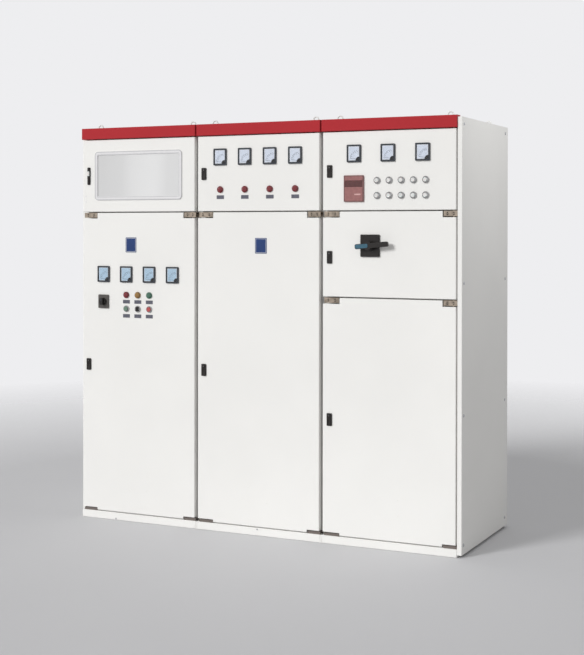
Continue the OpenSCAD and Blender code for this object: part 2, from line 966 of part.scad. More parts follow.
module window_pane() {
    color(clear_pane)
        on_door(0, upper_foot_z + upper_door_h / 2)
            upright(pane_y, pane_t)
                round_rect(pane_w, pane_h, pane_r);
}

// Instruments

// Panel meter: bezel with a sunk dial, and a case behind the door
module meter() {
    dial_w = meter_w - 2 * meter_rim;
    dial_h = meter_h - 2 * meter_rim;
    difference() {
        upright(-meter_proud, meter_proud)
            round_rect(meter_w, meter_h, front_r);
        upright(-meter_proud - over, meter_recess + over)
            square([dial_w, dial_h], center = true);
    }
    upright(-over, meter_case_d + over)
        square([meter_case_w, meter_case_h], center = true);
}

module meter_row(xs, z) {
    color(black_plastic)
        for (x = xs)
            translate([x, 0, z])
                meter();
}

module meters_1() on_door(0, door_foot_h) meter_row(row_of_four_xs, lower_meter_z);

module meters_2() on_door(1, upper_foot_z) meter_row(row_of_four_xs, upper_meter_z);

module meters_3() on_door(2, upper_foot_z) meter_row(row_of_three_xs, upper_meter_z);

// Turned fitting through a door: bezel, neck, nut and case; the axis points to the front
module fitting_body() {
    rotate([90, 0, 0])
        rotate_extrude()
            polygon([
                [0, lamp_bezel_h], [lamp_d / 2 - lamp_chamfer_w, lamp_bezel_h],
                [lamp_d / 2, lamp_bezel_h - lamp_chamfer_h], [lamp_d / 2, 0], [lamp_neck_d / 2, 0],
                [lamp_neck_d / 2, -sheet_t], [lamp_nut_d / 2, -sheet_t],
                [lamp_nut_d / 2, -sheet_t - lamp_nut_h], [lamp_neck_d / 2, -sheet_t - lamp_nut_h],
                [lamp_neck_d / 2, -lamp_case_d], [0, -lamp_case_d]
            ]);
}

// Domed lens on a bezel
module lens() {
    lens_r = lamp_lens_d / 2;
    crown_r = (lens_r * lens_r + lamp_lens_h * lamp_lens_h) / (2 * lamp_lens_h);
    rotate([90, 0, 0])
        rotate_extrude()
            intersection() {
                square([lens_r, lamp_bezel_h + lamp_lens_h]);
                translate([0, lamp_bezel_h + lamp_lens_h - crown_r])
                    circle(crown_r);
            }
}

module lamp() {
    fitting_body();
    lens();
}

module lamps_1() {
    color(lamp_grey)
        on_door(0, door_foot_h + lower_lamp_z)
            for (x = button_xs)
                translate([x, 0, 0])
                    lamp();
}

module lamps_2() {
    color(lamp_red)
        on_door(1, upper_foot_z + upper_lamp_z)
            for (x = row_of_four_xs)
                translate([x, 0, 0])
                    lamp();
}

module lamps_3() {
    color(lamp_grey)
        on_door(2, upper_foot_z)
            for (x = block_lamp_xs, z = block_lamp_zs)
                translate([x, 0, z])
                    lamp();
}

// Two push buttons with a turn switch between them
module push_buttons() {
    cap_r = lamp_neck_d / 2;
    color(lamp_grey)
        on_door(0, door_foot_h + button_z)
            for (k = [0 : len(button_xs) - 1])
                translate([button_xs[k], 0, 0]) {
                    fitting_body();
                    upright(-lamp_bezel_h - button_cap_h, lamp_bezel_h)
                        circle(cap_r);
                    if (k == 1)
                        upright(-lamp_bezel_h - lamp_lens_h, lamp_lens_h)
                            square([turn_grip_w, 2 * cap_r - turn_grip_w], center = true);
                }
}

module selector_plate() {
    color(black_plastic)
        on_door(0, door_foot_h + selector_z)
            translate([selector_x, 0, 0])
                difference() {
                    union() {
                        upright(-selector_t, selector_t)
                            round_rect(selector_w, selector_h, front_r);
                        upright(-over, selector_case_d + over)
                            square([selector_case_w, selector_case_w], center = true);
                    }
                    upright(-selector_t - over, 2 * selector_t + over)
                        circle(d = selector_spindle_d + 2 * hinge_clear);
                }
}

// Knob with a finger bar and a spindle in the plate
module selector_knob() {
    color(black_plastic)
        on_door(0, door_foot_h + selector_z)
            translate([selector_x, -selector_t - turn_gap, 0]) {
                upright(-selector_disc_h, selector_disc_h)
                    circle(d = selector_knob_d);
                upright(-selector_knob_h, selector_knob_h - turn_gap)
                    round_rect(selector_grip_w, selector_knob_d, front_r);
                upright(-over, selector_t + over)
                    circle(d = selector_spindle_d);
            }
}

module controller() {
    color(controller_brown)
        on_door(2, upper_foot_z + controller_z)
            translate([controller_x, 0, 0])
                difference() {
                    union() {
                        upright(-controller_proud, controller_proud)
                            round_rect(controller_w, controller_h, front_r);
                        upright(-over, controller_case_d + over)
                            square([controller_case_w, controller_case_h], center = true);
                    }
                    translate([0, 0, (controller_h - display_h) / 2 - display_drop])
                        upright(-controller_proud - over, meter_recess + over)
                            square([display_w, display_h], center = true);
                }
}

module isolator_base() {
    color(black_plastic)
        on_door(2, middle_foot_z + isolator_z)
            translate([-isolator_x, 0, 0])
                difference() {
                    union() {
                        upright(-isolator_t, isolator_t)
                            round_rect(isolator_w, isolator_h, front_r);
                        upright(-isolator_t - isolator_boss_h, isolator_boss_h)
                            circle(d = isolator_boss_d);
                        upright(-over, door_d + over)
                            circle(d = isolator_neck_d);
                    }
                    upright(-isolator_reach - over, isolator_reach + door_d + 2 * over)
                        circle(d = lever_shaft_d + 2 * hinge_clear);
                }
}

// Lever across the hub, with its shaft through the base
module isolator_lever() {
    color(black_plastic)
        on_door(2, middle_foot_z + isolator_z)
            translate([-isolator_x, -isolator_reach, 0])
                rotate([0, -lever_rest_deg, 0]) {
                    upright(-lever_hub_h, lever_hub_h)
                        circle(d = lever_hub_d);
                    translate([(lever_long - lever_short) / 2, 0, 0])
                        upright(-lever_hub_h, lever_t)
                            round_rect(lever_long + lever_short, lever_h, lever_r);
                    upright(-over, isolator_reach + door_d + over)
                        circle(d = lever_shaft_d);
                }
}

posts();
top_rails();
base_rails();
side_rails();
door_rails();
roof_covers();
rear_panels();
end_panel_left();
end_panel_right();
joint_seals();
headers();
plinths();
lifting_eyes();
hinge_brackets();
keeper_brackets();
door_1_upper();
door_1_lower();
door_2_upper();
door_2_lower();
door_3_upper();
door_3_middle();
door_3_lower();
lock_1_upper();
lock_1_lower();
lock_2_upper();
lock_2_lower();
lock_3_upper();
lock_3_middle();
lock_3_lower();
window_gasket();
window_pane();
meters_1();
meters_2();
meters_3();
lamps_1();
lamps_2();
lamps_3();
push_buttons();
selector_plate();
selector_knob();
controller();
isolator_base();
isolator_lever();
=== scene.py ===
import json
import math

import bmesh
import bpy
from mathutils import Matrix, Vector


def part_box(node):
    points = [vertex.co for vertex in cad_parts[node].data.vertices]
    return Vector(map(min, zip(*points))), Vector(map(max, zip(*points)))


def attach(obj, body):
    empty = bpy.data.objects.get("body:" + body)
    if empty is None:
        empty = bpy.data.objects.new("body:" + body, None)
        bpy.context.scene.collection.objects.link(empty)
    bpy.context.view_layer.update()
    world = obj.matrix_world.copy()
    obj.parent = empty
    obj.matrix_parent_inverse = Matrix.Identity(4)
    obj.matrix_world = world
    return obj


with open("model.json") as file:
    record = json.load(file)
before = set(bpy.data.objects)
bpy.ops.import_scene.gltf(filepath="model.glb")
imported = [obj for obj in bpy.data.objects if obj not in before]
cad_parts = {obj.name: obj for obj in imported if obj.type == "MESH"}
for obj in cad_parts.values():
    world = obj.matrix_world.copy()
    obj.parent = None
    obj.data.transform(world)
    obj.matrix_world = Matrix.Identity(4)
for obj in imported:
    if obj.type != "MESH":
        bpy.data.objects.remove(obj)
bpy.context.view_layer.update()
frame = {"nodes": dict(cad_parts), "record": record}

bl_info = {
    "name": "Distribution cabinet looks",
    "version": (1, 0, 0),
    "blender": (4, 5, 0),
    "location": "View3D > Sidebar > Cabinet",
    "description": "Finishes, instruments and fasteners of a row of low-voltage distribution cubicles",
    "category": "Object",
}

MM = 0.001
WELD = 1e-6

# Steps of turned shapes and softened edges, and the angle from which an edge stays sharp
TURN_STEPS = 32
HEAD_STEPS = 20
CROWN_STEPS = 6
ROLL_STEPS = 8
CORNER_STEPS = 5
LOOP_CORNER_STEPS = 8
EDGE_STEPS = 3
CHAMFER_STEPS = 2
SECTOR_STEP = math.radians(4)
SMOOTH_ANGLE = math.radians(32)

# A face looks to the front if its normal's y is below this
FRONT_NORMAL_Y = -0.99

# Thickness of printed ink, and how far a turned cover lies over its solid
INK_T = 0.15 * MM
HAIR = 0.3 * MM

# Brackets below this height, at the doors' feet, get painted shade and show no screws
FOOT_BRACKET_H = 0.1

# Shares of the window pane's width with their tones, which paint a reflection across the pane, and how
# far its painted reflection streaks wander
PANE_REFLECTION_TONES = ((0.2, 0.71), (0.45, 0.75), (0.6, 0.82), (0.83, 0.86), (1.0, 0.78))
PANE_REFLECTION_STREAK = 0.3

# Darker and lighter tone of the meters' glass
GLASS_TONES = ((0.22, 0.28, 0.34), (0.28, 0.34, 0.4))

# Values of a noise at which the darker tone ends and the lighter one starts
CLOUD_STOPS = (0.35, 0.65)
UNSTRETCHED = (1, 1, 1)

# Turns from the front to the other faces of the row
FACE_TURNS = {
    "front": Matrix.Identity(4),
    "rear": Matrix.Rotation(math.pi, 4, "Z"),
    "right": Matrix.Rotation(math.pi / 2, 4, "Z"),
    "left": Matrix.Rotation(-math.pi / 2, 4, "Z"),
    "top": Matrix.Rotation(-math.pi / 2, 4, "X"),
}


# Properties

def srgb(red, green, blue):
    """Linear colour from display values of 0 to 255."""
    channels = (value / 255 for value in (red, green, blue))
    return tuple(c / 12.92 if c <= 0.04045 else ((c + 0.055) / 1.055) ** 2.4 for c in channels)


def colour(name, description, display):
    return bpy.props.FloatVectorProperty(
        name=name, description=description, default=srgb(*display), size=3, min=0, max=1, subtype="COLOR")


def length(name, description, millimetres):
    return bpy.props.FloatProperty(
        name=name, description=description, default=millimetres * MM, unit="LENGTH")


def angle(name, description, degrees):
    return bpy.props.FloatProperty(
        name=name, description=description, default=math.radians(degrees), subtype="ANGLE")


def place(name, description, metres):
    return bpy.props.FloatVectorProperty(
        name=name, description=description, default=metres, size=3, subtype="TRANSLATION", unit="LENGTH")


def number(name, description, value):
    return bpy.props.FloatProperty(name=name, description=description, default=value)


class CabinetColours(bpy.types.PropertyGroup):
    """Colours of the finishes, as they look in plain light."""
    white_coat: colour("White coat", "Powder coat of frames, doors and panels", (238, 237, 234))
    red_coat: colour("Red coat", "Powder coat of the headers", (174, 47, 53))
    zinc: colour("Zinc", "Yellow-passivated brackets", (182, 168, 152))
    # Dark zinc: painted shade on the brackets under the doors
    zinc_painted_shade: colour("Dark zinc", "Stained brackets under the doors", (140, 131, 125))
    steel: colour("Steel", "Bolts and keyways", (196, 197, 199))
    bright_zinc: colour("Bright zinc", "Lifting eyes", (240, 240, 238))
    chrome: colour("Chrome", "Bezels of lamps and buttons", (188, 188, 188))
    black_moulding: colour("Black mouldings", "Locks, handles and knobs", (28, 24, 22))
    bezel_grey: colour("Bezel grey", "Meter bezels", (56, 60, 66))
    selector_grey: colour("Selector grey", "Plate of the selector switch", (84, 80, 77))
    rubber: colour("Rubber", "Window gasket and joint seals", (227, 226, 227))
    # Gasket lip: a darker grey that paints shade along the gasket's edges
    gasket_lip: colour("Gasket lip", "Edges of the window gasket", (192, 192, 194))
    # Foam: a pale tone that is painted light, lightening the slits between the doors
    foam: colour("Foam", "Seals on the backs of the doors", (176, 176, 178))
    pane: colour("Pane", "Window pane", (246, 246, 246))
    dial_blue: colour("Blue dial", "Dial faces of the left cubicle's meters", (184, 210, 230))
    dial_pale: colour("Pale dial", "Dial faces of the other meters", (224, 231, 244))
    ink: colour("Ink", "Scales, numbers and pointers", (52, 56, 66))
    lens_red: colour("Red lens", "Red lamps", (120, 18, 28))
    lens_amber: colour("Amber lens", "Amber lamp", (150, 112, 52))
    lens_green: colour("Green lens", "Green lamp", (64, 108, 88))
    lens_clear: colour("Clear lens", "Lamps in the block of ten", (226, 226, 224))
    cap_green: colour("Green cap", "Green push button", (104, 130, 114))
    cap_red: colour("Red cap", "Red push button", (176, 78, 78))
    label: colour("Label", "Bare label strips", (96, 97, 108))
    plate_blue: colour("Blue plate", "Bare plates on the tall doors", (36, 60, 110))
    plate_white: colour("Plate white", "Dial cards and keylines", (232, 233, 235))
    controller: colour("Controller", "Controller case", (152, 105, 103))
    controller_rim: colour("Controller rim", "Raised edge of the controller case", (122, 90, 88))
    display: colour("Display", "Smoked display of the controller", (86, 36, 35))
    pale_rose: colour("Pale rose", "Bare strip on the controller", (212, 172, 168))
    # Lever blue: colour of a thin plate on the lever's short arm
    lever_blue: colour("Lever blue", "Insert on the isolator's lever", (58, 98, 116))
    floor: colour("Floor", "Floor of the stage", (214, 214, 216))
    background: colour("Background", "What the camera sees behind the row", (238, 238, 240))


class CabinetSizes(bpy.types.PropertyGroup):
    """Sizes of the small pieces."""
    meter_rim: length("Meter rim", "Width of the bezel round a dial", 9)
    dial_recess: length("Dial recess", "Depth of a dial behind its bezel", 3)
    dial_cover_r: length("Dial cover", "Radius of the quarter cover over a meter's movement", 19)
    scale_r: length("Scale radius", "Radius of a dial's scale about the pointer's pivot", 43)
    number_h: length("Number height", "Height of the numbers on a dial", 5)
    lens_d: length("Lens diameter", "Diameter of a lamp's lens", 31)
    block_lens_d: length("Block lens diameter", "Diameter of a lens in the block of ten", 21)
    lens_h: length("Lens height", "Height of a lamp's lens above the door", 14)
    bezel_d: length("Bezel diameter", "Diameter of a lamp's or button's bezel", 36)
    bezel_h: length("Bezel height", "Height of a bezel above the door", 6)
    label_w: length("Label width", "Width of a label strip", 45)
    label_h: length("Label height", "Height of a label strip", 20)
    label_drop: length("Label drop", "Distance of a label strip below its lamp", 38)
    button_label_drop: length("Button label drop", "Distance of a label strip below its button", 40)
    upper_label_drop: length("Upper label drop", "The same below a lamp of the upper door", 41)
    plate_w: length("Plate width", "Width of a blue plate", 70)
    plate_h: length("Plate height", "Height of a blue plate", 83)
    plate_drop: length("Plate drop", "Distance of a blue plate below the top of its door", 179)
    left_plate_x: length("Left plate place", "Offset of the left plate from its door's middle", -45)
    middle_plate_x: length("Middle plate place", "Offset of the middle plate from its door's middle", 22)
    rivet_d: length("Rivet diameter", "Diameter of the rivets on the lowest doors", 8)
    rivet_span_x: length("Rivet width", "Distance between the rivets across a door", 108)
    rivet_span_z: length("Rivet height", "Distance between the rivets up a door", 78)
    rivet_foot_h: length("Rivet foot", "Height of the lower rivets above the underside of the door", 131)
    bolt_d: length("Bolt size", "Width across the corners of a panel bolt", 12)
    bolt_edge: length("Bolt edge", "Distance of the panel bolts from a panel's edge", 25)
    seal_edge: length("Seal edge", "Distance of a door's seal from the edge of the door", 3)
    seal_w: length("Seal width", "Width of a door's seal", 8)
    seal_t: length("Seal thickness", "Thickness of a door's seal", 6)


class CabinetStage(bpy.types.PropertyGroup):
    """Camera and light."""
    camera_place: place("Camera place", "Where the camera stands", (3.216, -6.4295, 1.618))
    camera_yaw: angle("Camera yaw", "Turn of the camera to the left", 24.39)
    camera_pitch: angle("Camera pitch", "Tilt of the camera downwards", 0.44)
    camera_roll: angle("Camera roll", "Roll of the camera", 0.08)
    frame_w: number("Frame width", "Width of the picture in pixels", 584)
    frame_h: number("Frame height", "Height of the picture in pixels", 655)
    focal: number("Focal length", "Focal length in pixels", 1283.8)
    centre_x: number("Centre across", "Pixel of the optical axis across the picture", 339.6)
    centre_y: number("Centre down", "Pixel of the optical axis down the picture", 241.8)
    key_from: place("Key side", "Direction the key light comes from", (-0.55, -1.0, 0.45))
    key_spread: angle("Key spread", "Spread of the key light", 18)
    key_strength: number("Key strength", "Strength of the key light", 2.08)
    fill_from: place("Fill side", "Direction the soft fill light comes from", (1, 0, 0))
    fill_place: place("Fill place", "Where the fill light by the right end stands", (2.05, 0.0, 2.45))
    fill_size: length("Fill size", "Side of the fill light", 900)
    fill_power: number("Fill power", "Power of the fill light in watts", 4)
    sky_strength: number("Sky strength", "Strength of the light from above", 0.56)
    ground_strength: number("Ground strength", "Strength of the light from below the horizon", 0.58)


PROPERTY_GROUPS = {
    "cabinet_colours": CabinetColours,
    "cabinet_sizes": CabinetSizes,
    "cabinet_stage": CabinetStage,
}


# Materials

def shade(base, factor):
    return tuple(min(1.0, channel * factor) for channel in base)


class Nodes:
    """A node tree, with short calls that add and link its nodes."""

    def __init__(self, tree):
        self.tree = tree

    def add(self, kind, inputs=None, **settings):
        """New node with its settings and the values of its sockets."""
        node = self.tree.nodes.new(kind)
        for setting, value in settings.items():
            setattr(node, setting, value)
        for socket, value in (inputs or {}).items():
            node.inputs[socket].default_value = value
        return node

    def link(self, output, target):
        self.tree.links.new(output, target)

    def along(self, coordinates, axis):
        """One axis of a coordinate."""
        split = self.add("ShaderNodeSeparateXYZ")
        self.link(coordinates, split.inputs["Vector"])
        return split.outputs[axis]

    def spread(self, value, old, new):
        """A value carried from one span over to another and held at its ends."""
        ends = zip(("From Min", "From Max", "To Min", "To Max"), (*old, *new))
        carried = self.add("ShaderNodeMapRange", dict(ends))
        self.link(value, carried.inputs["Value"])
        return carried.outputs["Result"]


class Finish(Nodes):
    """A material with a Principled shader, whose patterns read Object coordinates."""

    def __init__(self, name, roughness=0.5, metallic=0.0, coat=0.0):
        if name in bpy.data.materials:
            raise ValueError(f"a material named {name} is there already")
        self.material = bpy.data.materials.new(name)
        self.material.use_nodes = True
        super().__init__(self.material.node_tree)
        self.shader = self.tree.nodes["Principled BSDF"]
        self.set("Roughness", roughness)
        self.set("Metallic", metallic)
        self.set("Coat Weight", coat)

    def set(self, socket, value):
        self.shader.inputs[socket].default_value = value

    def drive(self, socket, output):
        """Lets a pattern set a socket of the shader."""
        self.link(output, self.shader.inputs[socket])

    def coordinates(self):
        return self.add("ShaderNodeTexCoord").outputs["Object"]

    def noise(self, scale, detail=2.0, stretch=UNSTRETCHED):
        """Noise with scale features in a metre, stretched along the axes."""
        mapping = self.add("ShaderNodeMapping", {"Scale": stretch})
        texture = self.add("ShaderNodeTexNoise", {"Scale": scale, "Detail": detail})
        self.link(self.coordinates(), mapping.inputs["Vector"])
        self.link(mapping.outputs["Vector"], texture.inputs["Vector"])
        return texture.outputs["Fac"]

    def ramp(self, value, tones):
        """Colour read from tones at places along a value."""
        ramp = self.add("ShaderNodeValToRGB")
        stops = ramp.color_ramp.elements
        while len(stops) < len(tones):
            stops.new(1.0)
        for stop, (position, tone) in zip(stops, tones):
            stop.position = position
            stop.color = (*tone, 1)
        self.link(value, ramp.inputs["Fac"])
        return ramp.outputs["Color"]

    def clouds(self, tones, scale, detail=3.0):
        """Base colour that wanders between two tones."""
        tint = self.ramp(self.noise(scale, detail), tuple(zip(CLOUD_STOPS, tones)))
        self.drive("Base Color", tint)
        return tint

    def mottle(self, base, dark, light, scale, detail=3.0):
        """Base colour that wanders between a darker and a lighter shade of it."""
        return self.clouds((shade(base, dark), shade(base, light)), scale, detail)

    def polish(self, low, high, scale):
        """Roughness that wanders between two values."""
        self.drive("Roughness", self.spread(self.noise(scale), (0, 1), (low, high)))

    def grain(self, scale, depth, stretch=UNSTRETCHED):
        """Fine relief of the given depth in metres."""
        bump = self.add("ShaderNodeBump", {"Strength": 1.0, "Distance": depth})
        self.link(self.noise(scale, stretch=stretch), bump.inputs["Height"])
        self.drive("Normal", bump.outputs["Normal"])


def powder_coat(name, base):
    """Stoved powder coat: an even colour, fine orange peel and a soft sheen."""
    finish = Finish(name)
    finish.set("Specular IOR Level", 0.25)
    finish.mottle(base, dark=0.975, light=1.01, scale=1.6)
    finish.polish(low=0.5, high=0.62, scale=40)
    finish.grain(scale=420, depth=0.05 * MM)


def zinc_plate(name, base, stained):
    """Passivated zinc: yellow clouds, fine drawing lines, and painted shade near the floor, where the
    brackets sit under the doors.
    """
    finish = Finish(name, metallic=0.75)
    clouds = finish.mottle(base, dark=0.62, light=1.08, scale=45, detail=4.0)
    # Painted shade: brackets below the foot height, under the doors, take the darker colour
    under_door_shade = finish.add("ShaderNodeMath", {1: FOOT_BRACKET_H}, operation="LESS_THAN")
    finish.link(finish.along(finish.coordinates(), "Z"), under_door_shade.inputs[0])
    mix = finish.add("ShaderNodeMix", data_type="RGBA")
    sockets = {socket.identifier: socket for socket in (*mix.inputs, *mix.outputs)}
    sockets["B_Color"].default_value = (*stained, 1)
    finish.link(under_door_shade.outputs["Value"], sockets["Factor_Float"])
    finish.link(clouds, sockets["A_Color"])
    finish.drive("Base Color", sockets["Result_Color"])
    finish.polish(low=0.38, high=0.58, scale=90)
    finish.grain(scale=300, depth=0.03 * MM, stretch=(0.1, 1, 1))


def bare_metal(name, base, rough, metallic=1.0):
    """Plated or drawn metal with faint lines."""
    finish = Finish(name, metallic=metallic)
    finish.mottle(base, dark=0.85, light=1, scale=120)
    finish.polish(*rough, scale=200)
    finish.grain(scale=600, depth=0.01 * MM)


def moulded_plastic(name, base, rough=(0.35, 0.5), grain=0.04 * MM):
    """Moulded plastic with a fine spark-eroded grain."""
    finish = Finish(name)
    finish.mottle(base, dark=0.88, light=1.08, scale=60)
    finish.polish(*rough, scale=150)
    finish.grain(scale=900, depth=grain)


def lamp_lens(name, base):
    """Coloured lens: glossy and lit from within by what falls on it."""
    finish = Finish(name, roughness=0.16, coat=0.6)
    finish.mottle(base, dark=0.82, light=1.12, scale=140)
    finish.set("Subsurface Weight", 0.15)
    finish.set("Subsurface Radius", (4 * MM, 2 * MM, 2 * MM))
    finish.grain(scale=350, depth=0.05 * MM)


def soft_rubber(name, base):
    """Extruded rubber or foam."""
    finish = Finish(name)
    finish.mottle(base, dark=0.97, light=1.02, scale=30)
    finish.polish(low=0.65, high=0.85, scale=120)
    finish.grain(scale=700, depth=0.04 * MM)


def milky_pane(name, base, left, right):
    """Clear glazing over a pale inside: mostly pale, with a painted reflection of a broad upright sheen
    and faint streaks.
    """
    finish = Finish(name, roughness=0.1, coat=0.4)
    # Painted reflection: the tone wanders across the pane's width and along faint upright streaks
    across = finish.spread(finish.along(finish.coordinates(), "X"), (left, right), (0, 1))
    reflection_streaks = finish.add("ShaderNodeMath", {1: PANE_REFLECTION_STREAK}, operation="MULTIPLY_ADD")
    finish.link(finish.noise(scale=6, detail=1.0, stretch=(1, 1, 0.25)), reflection_streaks.inputs[0])
    finish.link(across, reflection_streaks.inputs[2])
    tones = [(position, shade(base, tone)) for position, tone in PANE_REFLECTION_TONES]
    finish.drive("Base Color", finish.ramp(reflection_streaks.outputs["Value"], tones))
    finish.set("Alpha", 0.96)
    finish.grain(scale=25, depth=0.05 * MM)


def dial_glass(name):
    """Thin meter glass that keeps only its reflections."""
    finish = Finish(name, roughness=0.08)
    finish.clouds(GLASS_TONES, scale=30)
    finish.set("Alpha", 0.06)


def printed_card(name, base):
    """Matt printed card."""
    finish = Finish(name, roughness=0.55)
    finish.mottle(base, dark=0.95, light=1.03, scale=35)
    finish.grain(scale=1200, depth=0.01 * MM)


def make_finishes(colours):
    """Makes each finish under the name of its colour."""
    def make(recipe, *names, **settings):
        for name in names:
            recipe(name, getattr(colours, name), **settings)

    make(powder_coat, "white_coat", "red_coat")
    make(zinc_plate, "zinc", stained=colours.zinc_painted_shade)
    make(bare_metal, "steel", rough=(0.35, 0.5))
    make(bare_metal, "chrome", rough=(0.12, 0.22))
    make(bare_metal, "bright_zinc", rough=(0.45, 0.6), metallic=0.2)
    make(moulded_plastic, "black_moulding", "bezel_grey", "selector_grey")
    make(moulded_plastic, "controller", "controller_rim", rough=(0.4, 0.55))
    make(moulded_plastic, "lever_blue", rough=(0.25, 0.35))
    make(moulded_plastic, "cap_green", "cap_red", rough=(0.25, 0.4))
    make(moulded_plastic, "label", grain=0.02 * MM)
    make(soft_rubber, "rubber", "gasket_lip", "foam")
    low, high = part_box("window_pane")
    make(milky_pane, "pane", left=low[0], right=high[0])
    dial_glass("dial_glass")
    make(printed_card, "dial_blue", "dial_pale", "ink", "plate_blue", "plate_white", "pale_rose")
    make(lamp_lens, "lens_red", "lens_amber", "lens_green", "lens_clear", "display")


# Shapes: each is made at the origin with its back on y = 0, facing the front

def soften(bm, geom, offset, steps, affect="EDGES"):
    """Rounds edges, or the corners of an outline."""
    bmesh.ops.bevel(bm, geom=geom, offset=offset, affect=affect, segments=steps, profile=0.5, material=-1)


def front_rim(bm, t):
    """Edges of the front face of a shape that is t deep."""
    return [edge for edge in bm.edges if all(vert.co.y < -t + WELD for vert in edge.verts)]


def bar(w, h, t):
    """Plain block, w wide, h high and t deep."""
    bm = bmesh.new()
    size = Matrix.Diagonal((w, t, h, 1))
    bmesh.ops.create_cube(bm, size=1, matrix=Matrix.Translation((0, -t / 2, 0)) @ size)
    return bm


def plate(w, h, t, corner=0.0, edge=0.0):
    """Block with round corners and softened front edges."""
    bm = bar(w, h, t)
    if corner:
        upright = [e for e in bm.edges if abs(e.verts[0].co.y - e.verts[1].co.y) > t / 2]
        soften(bm, upright, corner, CORNER_STEPS)
    if edge:
        soften(bm, front_rim(bm, t), edge, EDGE_STEPS)
    return bm


def hollow(bm, border, depth):
    """Sinks the front of a shape inside a border."""
    front = [face for face in bm.faces if face.normal.y < FRONT_NORMAL_Y]
    bmesh.ops.inset_region(bm, faces=front, thickness=border, depth=-depth)
    return bm


def rectangle(w, h):
    """Corners of a rectangle about the origin."""
    return [(-w / 2, -h / 2), (w / 2, -h / 2), (w / 2, h / 2), (-w / 2, h / 2)]


def inset(bm, face, thickness):
    """Faces of the border that a flat outline gets inside its edge."""
    made = bmesh.ops.inset_region(
        bm, faces=[face], use_boundary=True, use_even_offset=True, thickness=thickness)
    return made["faces"]


def outline_strip(corners, margin, width, t, corner=0.0):
    """Strip of the given width inside an outline, as thick as t towards +Y."""
    bm = bmesh.new()
    bm.faces.new([bm.verts.new((x, 0, z)) for x, z in corners])
    bm.normal_update()
    if corner:
        soften(bm, bm.verts, corner, LOOP_CORNER_STEPS, affect="VERTICES")
    face, = bm.faces
    outside = inset(bm, face, margin)
    strip = inset(bm, face, width)
    bmesh.ops.delete(bm, geom=outside + [face], context="FACES")
    raised = bmesh.ops.extrude_face_region(bm, geom=strip, use_keep_orig=True)["geom"]
    lifted = [part for part in raised if isinstance(part, bmesh.types.BMVert)]
    bmesh.ops.translate(bm, verts=lifted, vec=(0, t, 0))
    bmesh.ops.recalc_face_normals(bm, faces=bm.faces)
    return bm


def turned(profile, ring=False, steps=TURN_STEPS, sweep=2 * math.pi):
    """Shape turned about the front axis from (radius, height) pairs; a ring's profile is closed."""
    bm = bmesh.new()
    verts = [bm.verts.new((radius, -height, 0)) for radius, height in profile]
    ends = verts[1:] + verts[:1] if ring else verts[1:]
    edges = [bm.edges.new(pair) for pair in zip(verts, ends)]
    full = sweep > 2 * math.pi - WELD
    bmesh.ops.spin(
        bm, geom=verts + edges, axis=(0, -1, 0), cent=(0, 0, 0), angle=sweep, steps=steps, use_merge=full)
    bmesh.ops.remove_doubles(bm, verts=bm.verts, dist=WELD)
    if not full:
        bmesh.ops.holes_fill(bm, edges=bm.edges, sides=len(profile))
    bmesh.ops.recalc_face_normals(bm, faces=bm.faces)
    return bm


def sector(inner, outer, start, sweep, t):
    """Flat ring sector about the front axis, start and sweep counted from +X towards the top."""
    profile = [(inner, 0), (outer, 0), (outer, t), (inner, t)]
    return turn(turned(profile, ring=True, steps=round(sweep / SECTOR_STEP), sweep=sweep), start)


def stub(radius, side_h, face_r, h):
    """Short turned pin with a chamfered front."""
    return turned([(0, 0), (radius, 0), (radius, side_h), (face_r, h), (0, h)])


def arc(sweep, steps):
    """Angles from nothing to the sweep in even steps."""
    return [sweep * k / steps for k in range(steps + 1)]


def domed_head(d, h, side_share=0.25):
    """Round head with a low straight side, whose crown is an arc."""
    crown = [(d / 2 * math.cos(a), h * (side_share + (1 - side_share) * math.sin(a)))
             for a in arc(math.pi / 2, CROWN_STEPS)]
    crown[-1] = (0, h)
    return turned([(0, 0), (d / 2, 0)] + crown, steps=HEAD_STEPS)


def turn(bm, turn_angle):
    """Turns a shape about the front axis, towards the top from +X."""
    bmesh.ops.rotate(bm, verts=bm.verts, cent=(0, 0, 0), matrix=Matrix.Rotation(-turn_angle, 3, "Y"))
    return bm


def shift(bm, x=0.0, y=0.0, z=0.0):
    bmesh.ops.translate(bm, verts=bm.verts, vec=(x, y, z))
    return bm


def merged(*shapes):
    """One bmesh that holds all the shapes."""
    whole = bmesh.new()
    for shape in shapes:
        mesh = bpy.data.meshes.new("shape")
        shape.to_mesh(mesh)
        shape.free()
        whole.from_mesh(mesh)
        bpy.data.meshes.remove(mesh)
    return whole


def copies(shape, spots, face):
    """The shape turned to a face of the row and copied to each spot."""
    mesh = bpy.data.meshes.new("shape")
    bmesh.ops.transform(shape, matrix=FACE_TURNS[face], verts=shape.verts)
    shape.to_mesh(mesh)
    shape.free()
    whole = bmesh.new()
    for spot in spots:
        first = len(whole.verts)
        whole.from_mesh(mesh)
        whole.verts.ensure_lookup_table()
        bmesh.ops.translate(whole, verts=whole.verts[first:], vec=spot)
    bpy.data.meshes.remove(mesh)
    return whole


def figure(text, height):
    """A plain number, as thin raised ink."""
    curve = bpy.data.curves.new("figure", "FONT")
    curve.body = text
    curve.size = height
    curve.align_x, curve.align_y = "CENTER", "CENTER"
    curve.resolution_u = 2
    curve.extrude = INK_T / 2
    text_object = bpy.data.objects.new("figure", curve)
    mesh = bpy.data.meshes.new_from_object(text_object)
    bm = bmesh.new()
    bm.from_mesh(mesh)
    bmesh.ops.remove_doubles(bm, verts=bm.verts, dist=WELD)
    bmesh.ops.rotate(bm, verts=bm.verts, cent=(0, 0, 0), matrix=Matrix.Rotation(math.pi / 2, 3, "X"))
    bpy.data.meshes.remove(mesh)
    bpy.data.objects.remove(text_object)
    bpy.data.curves.remove(curve)
    return shift(bm, y=-INK_T / 2)


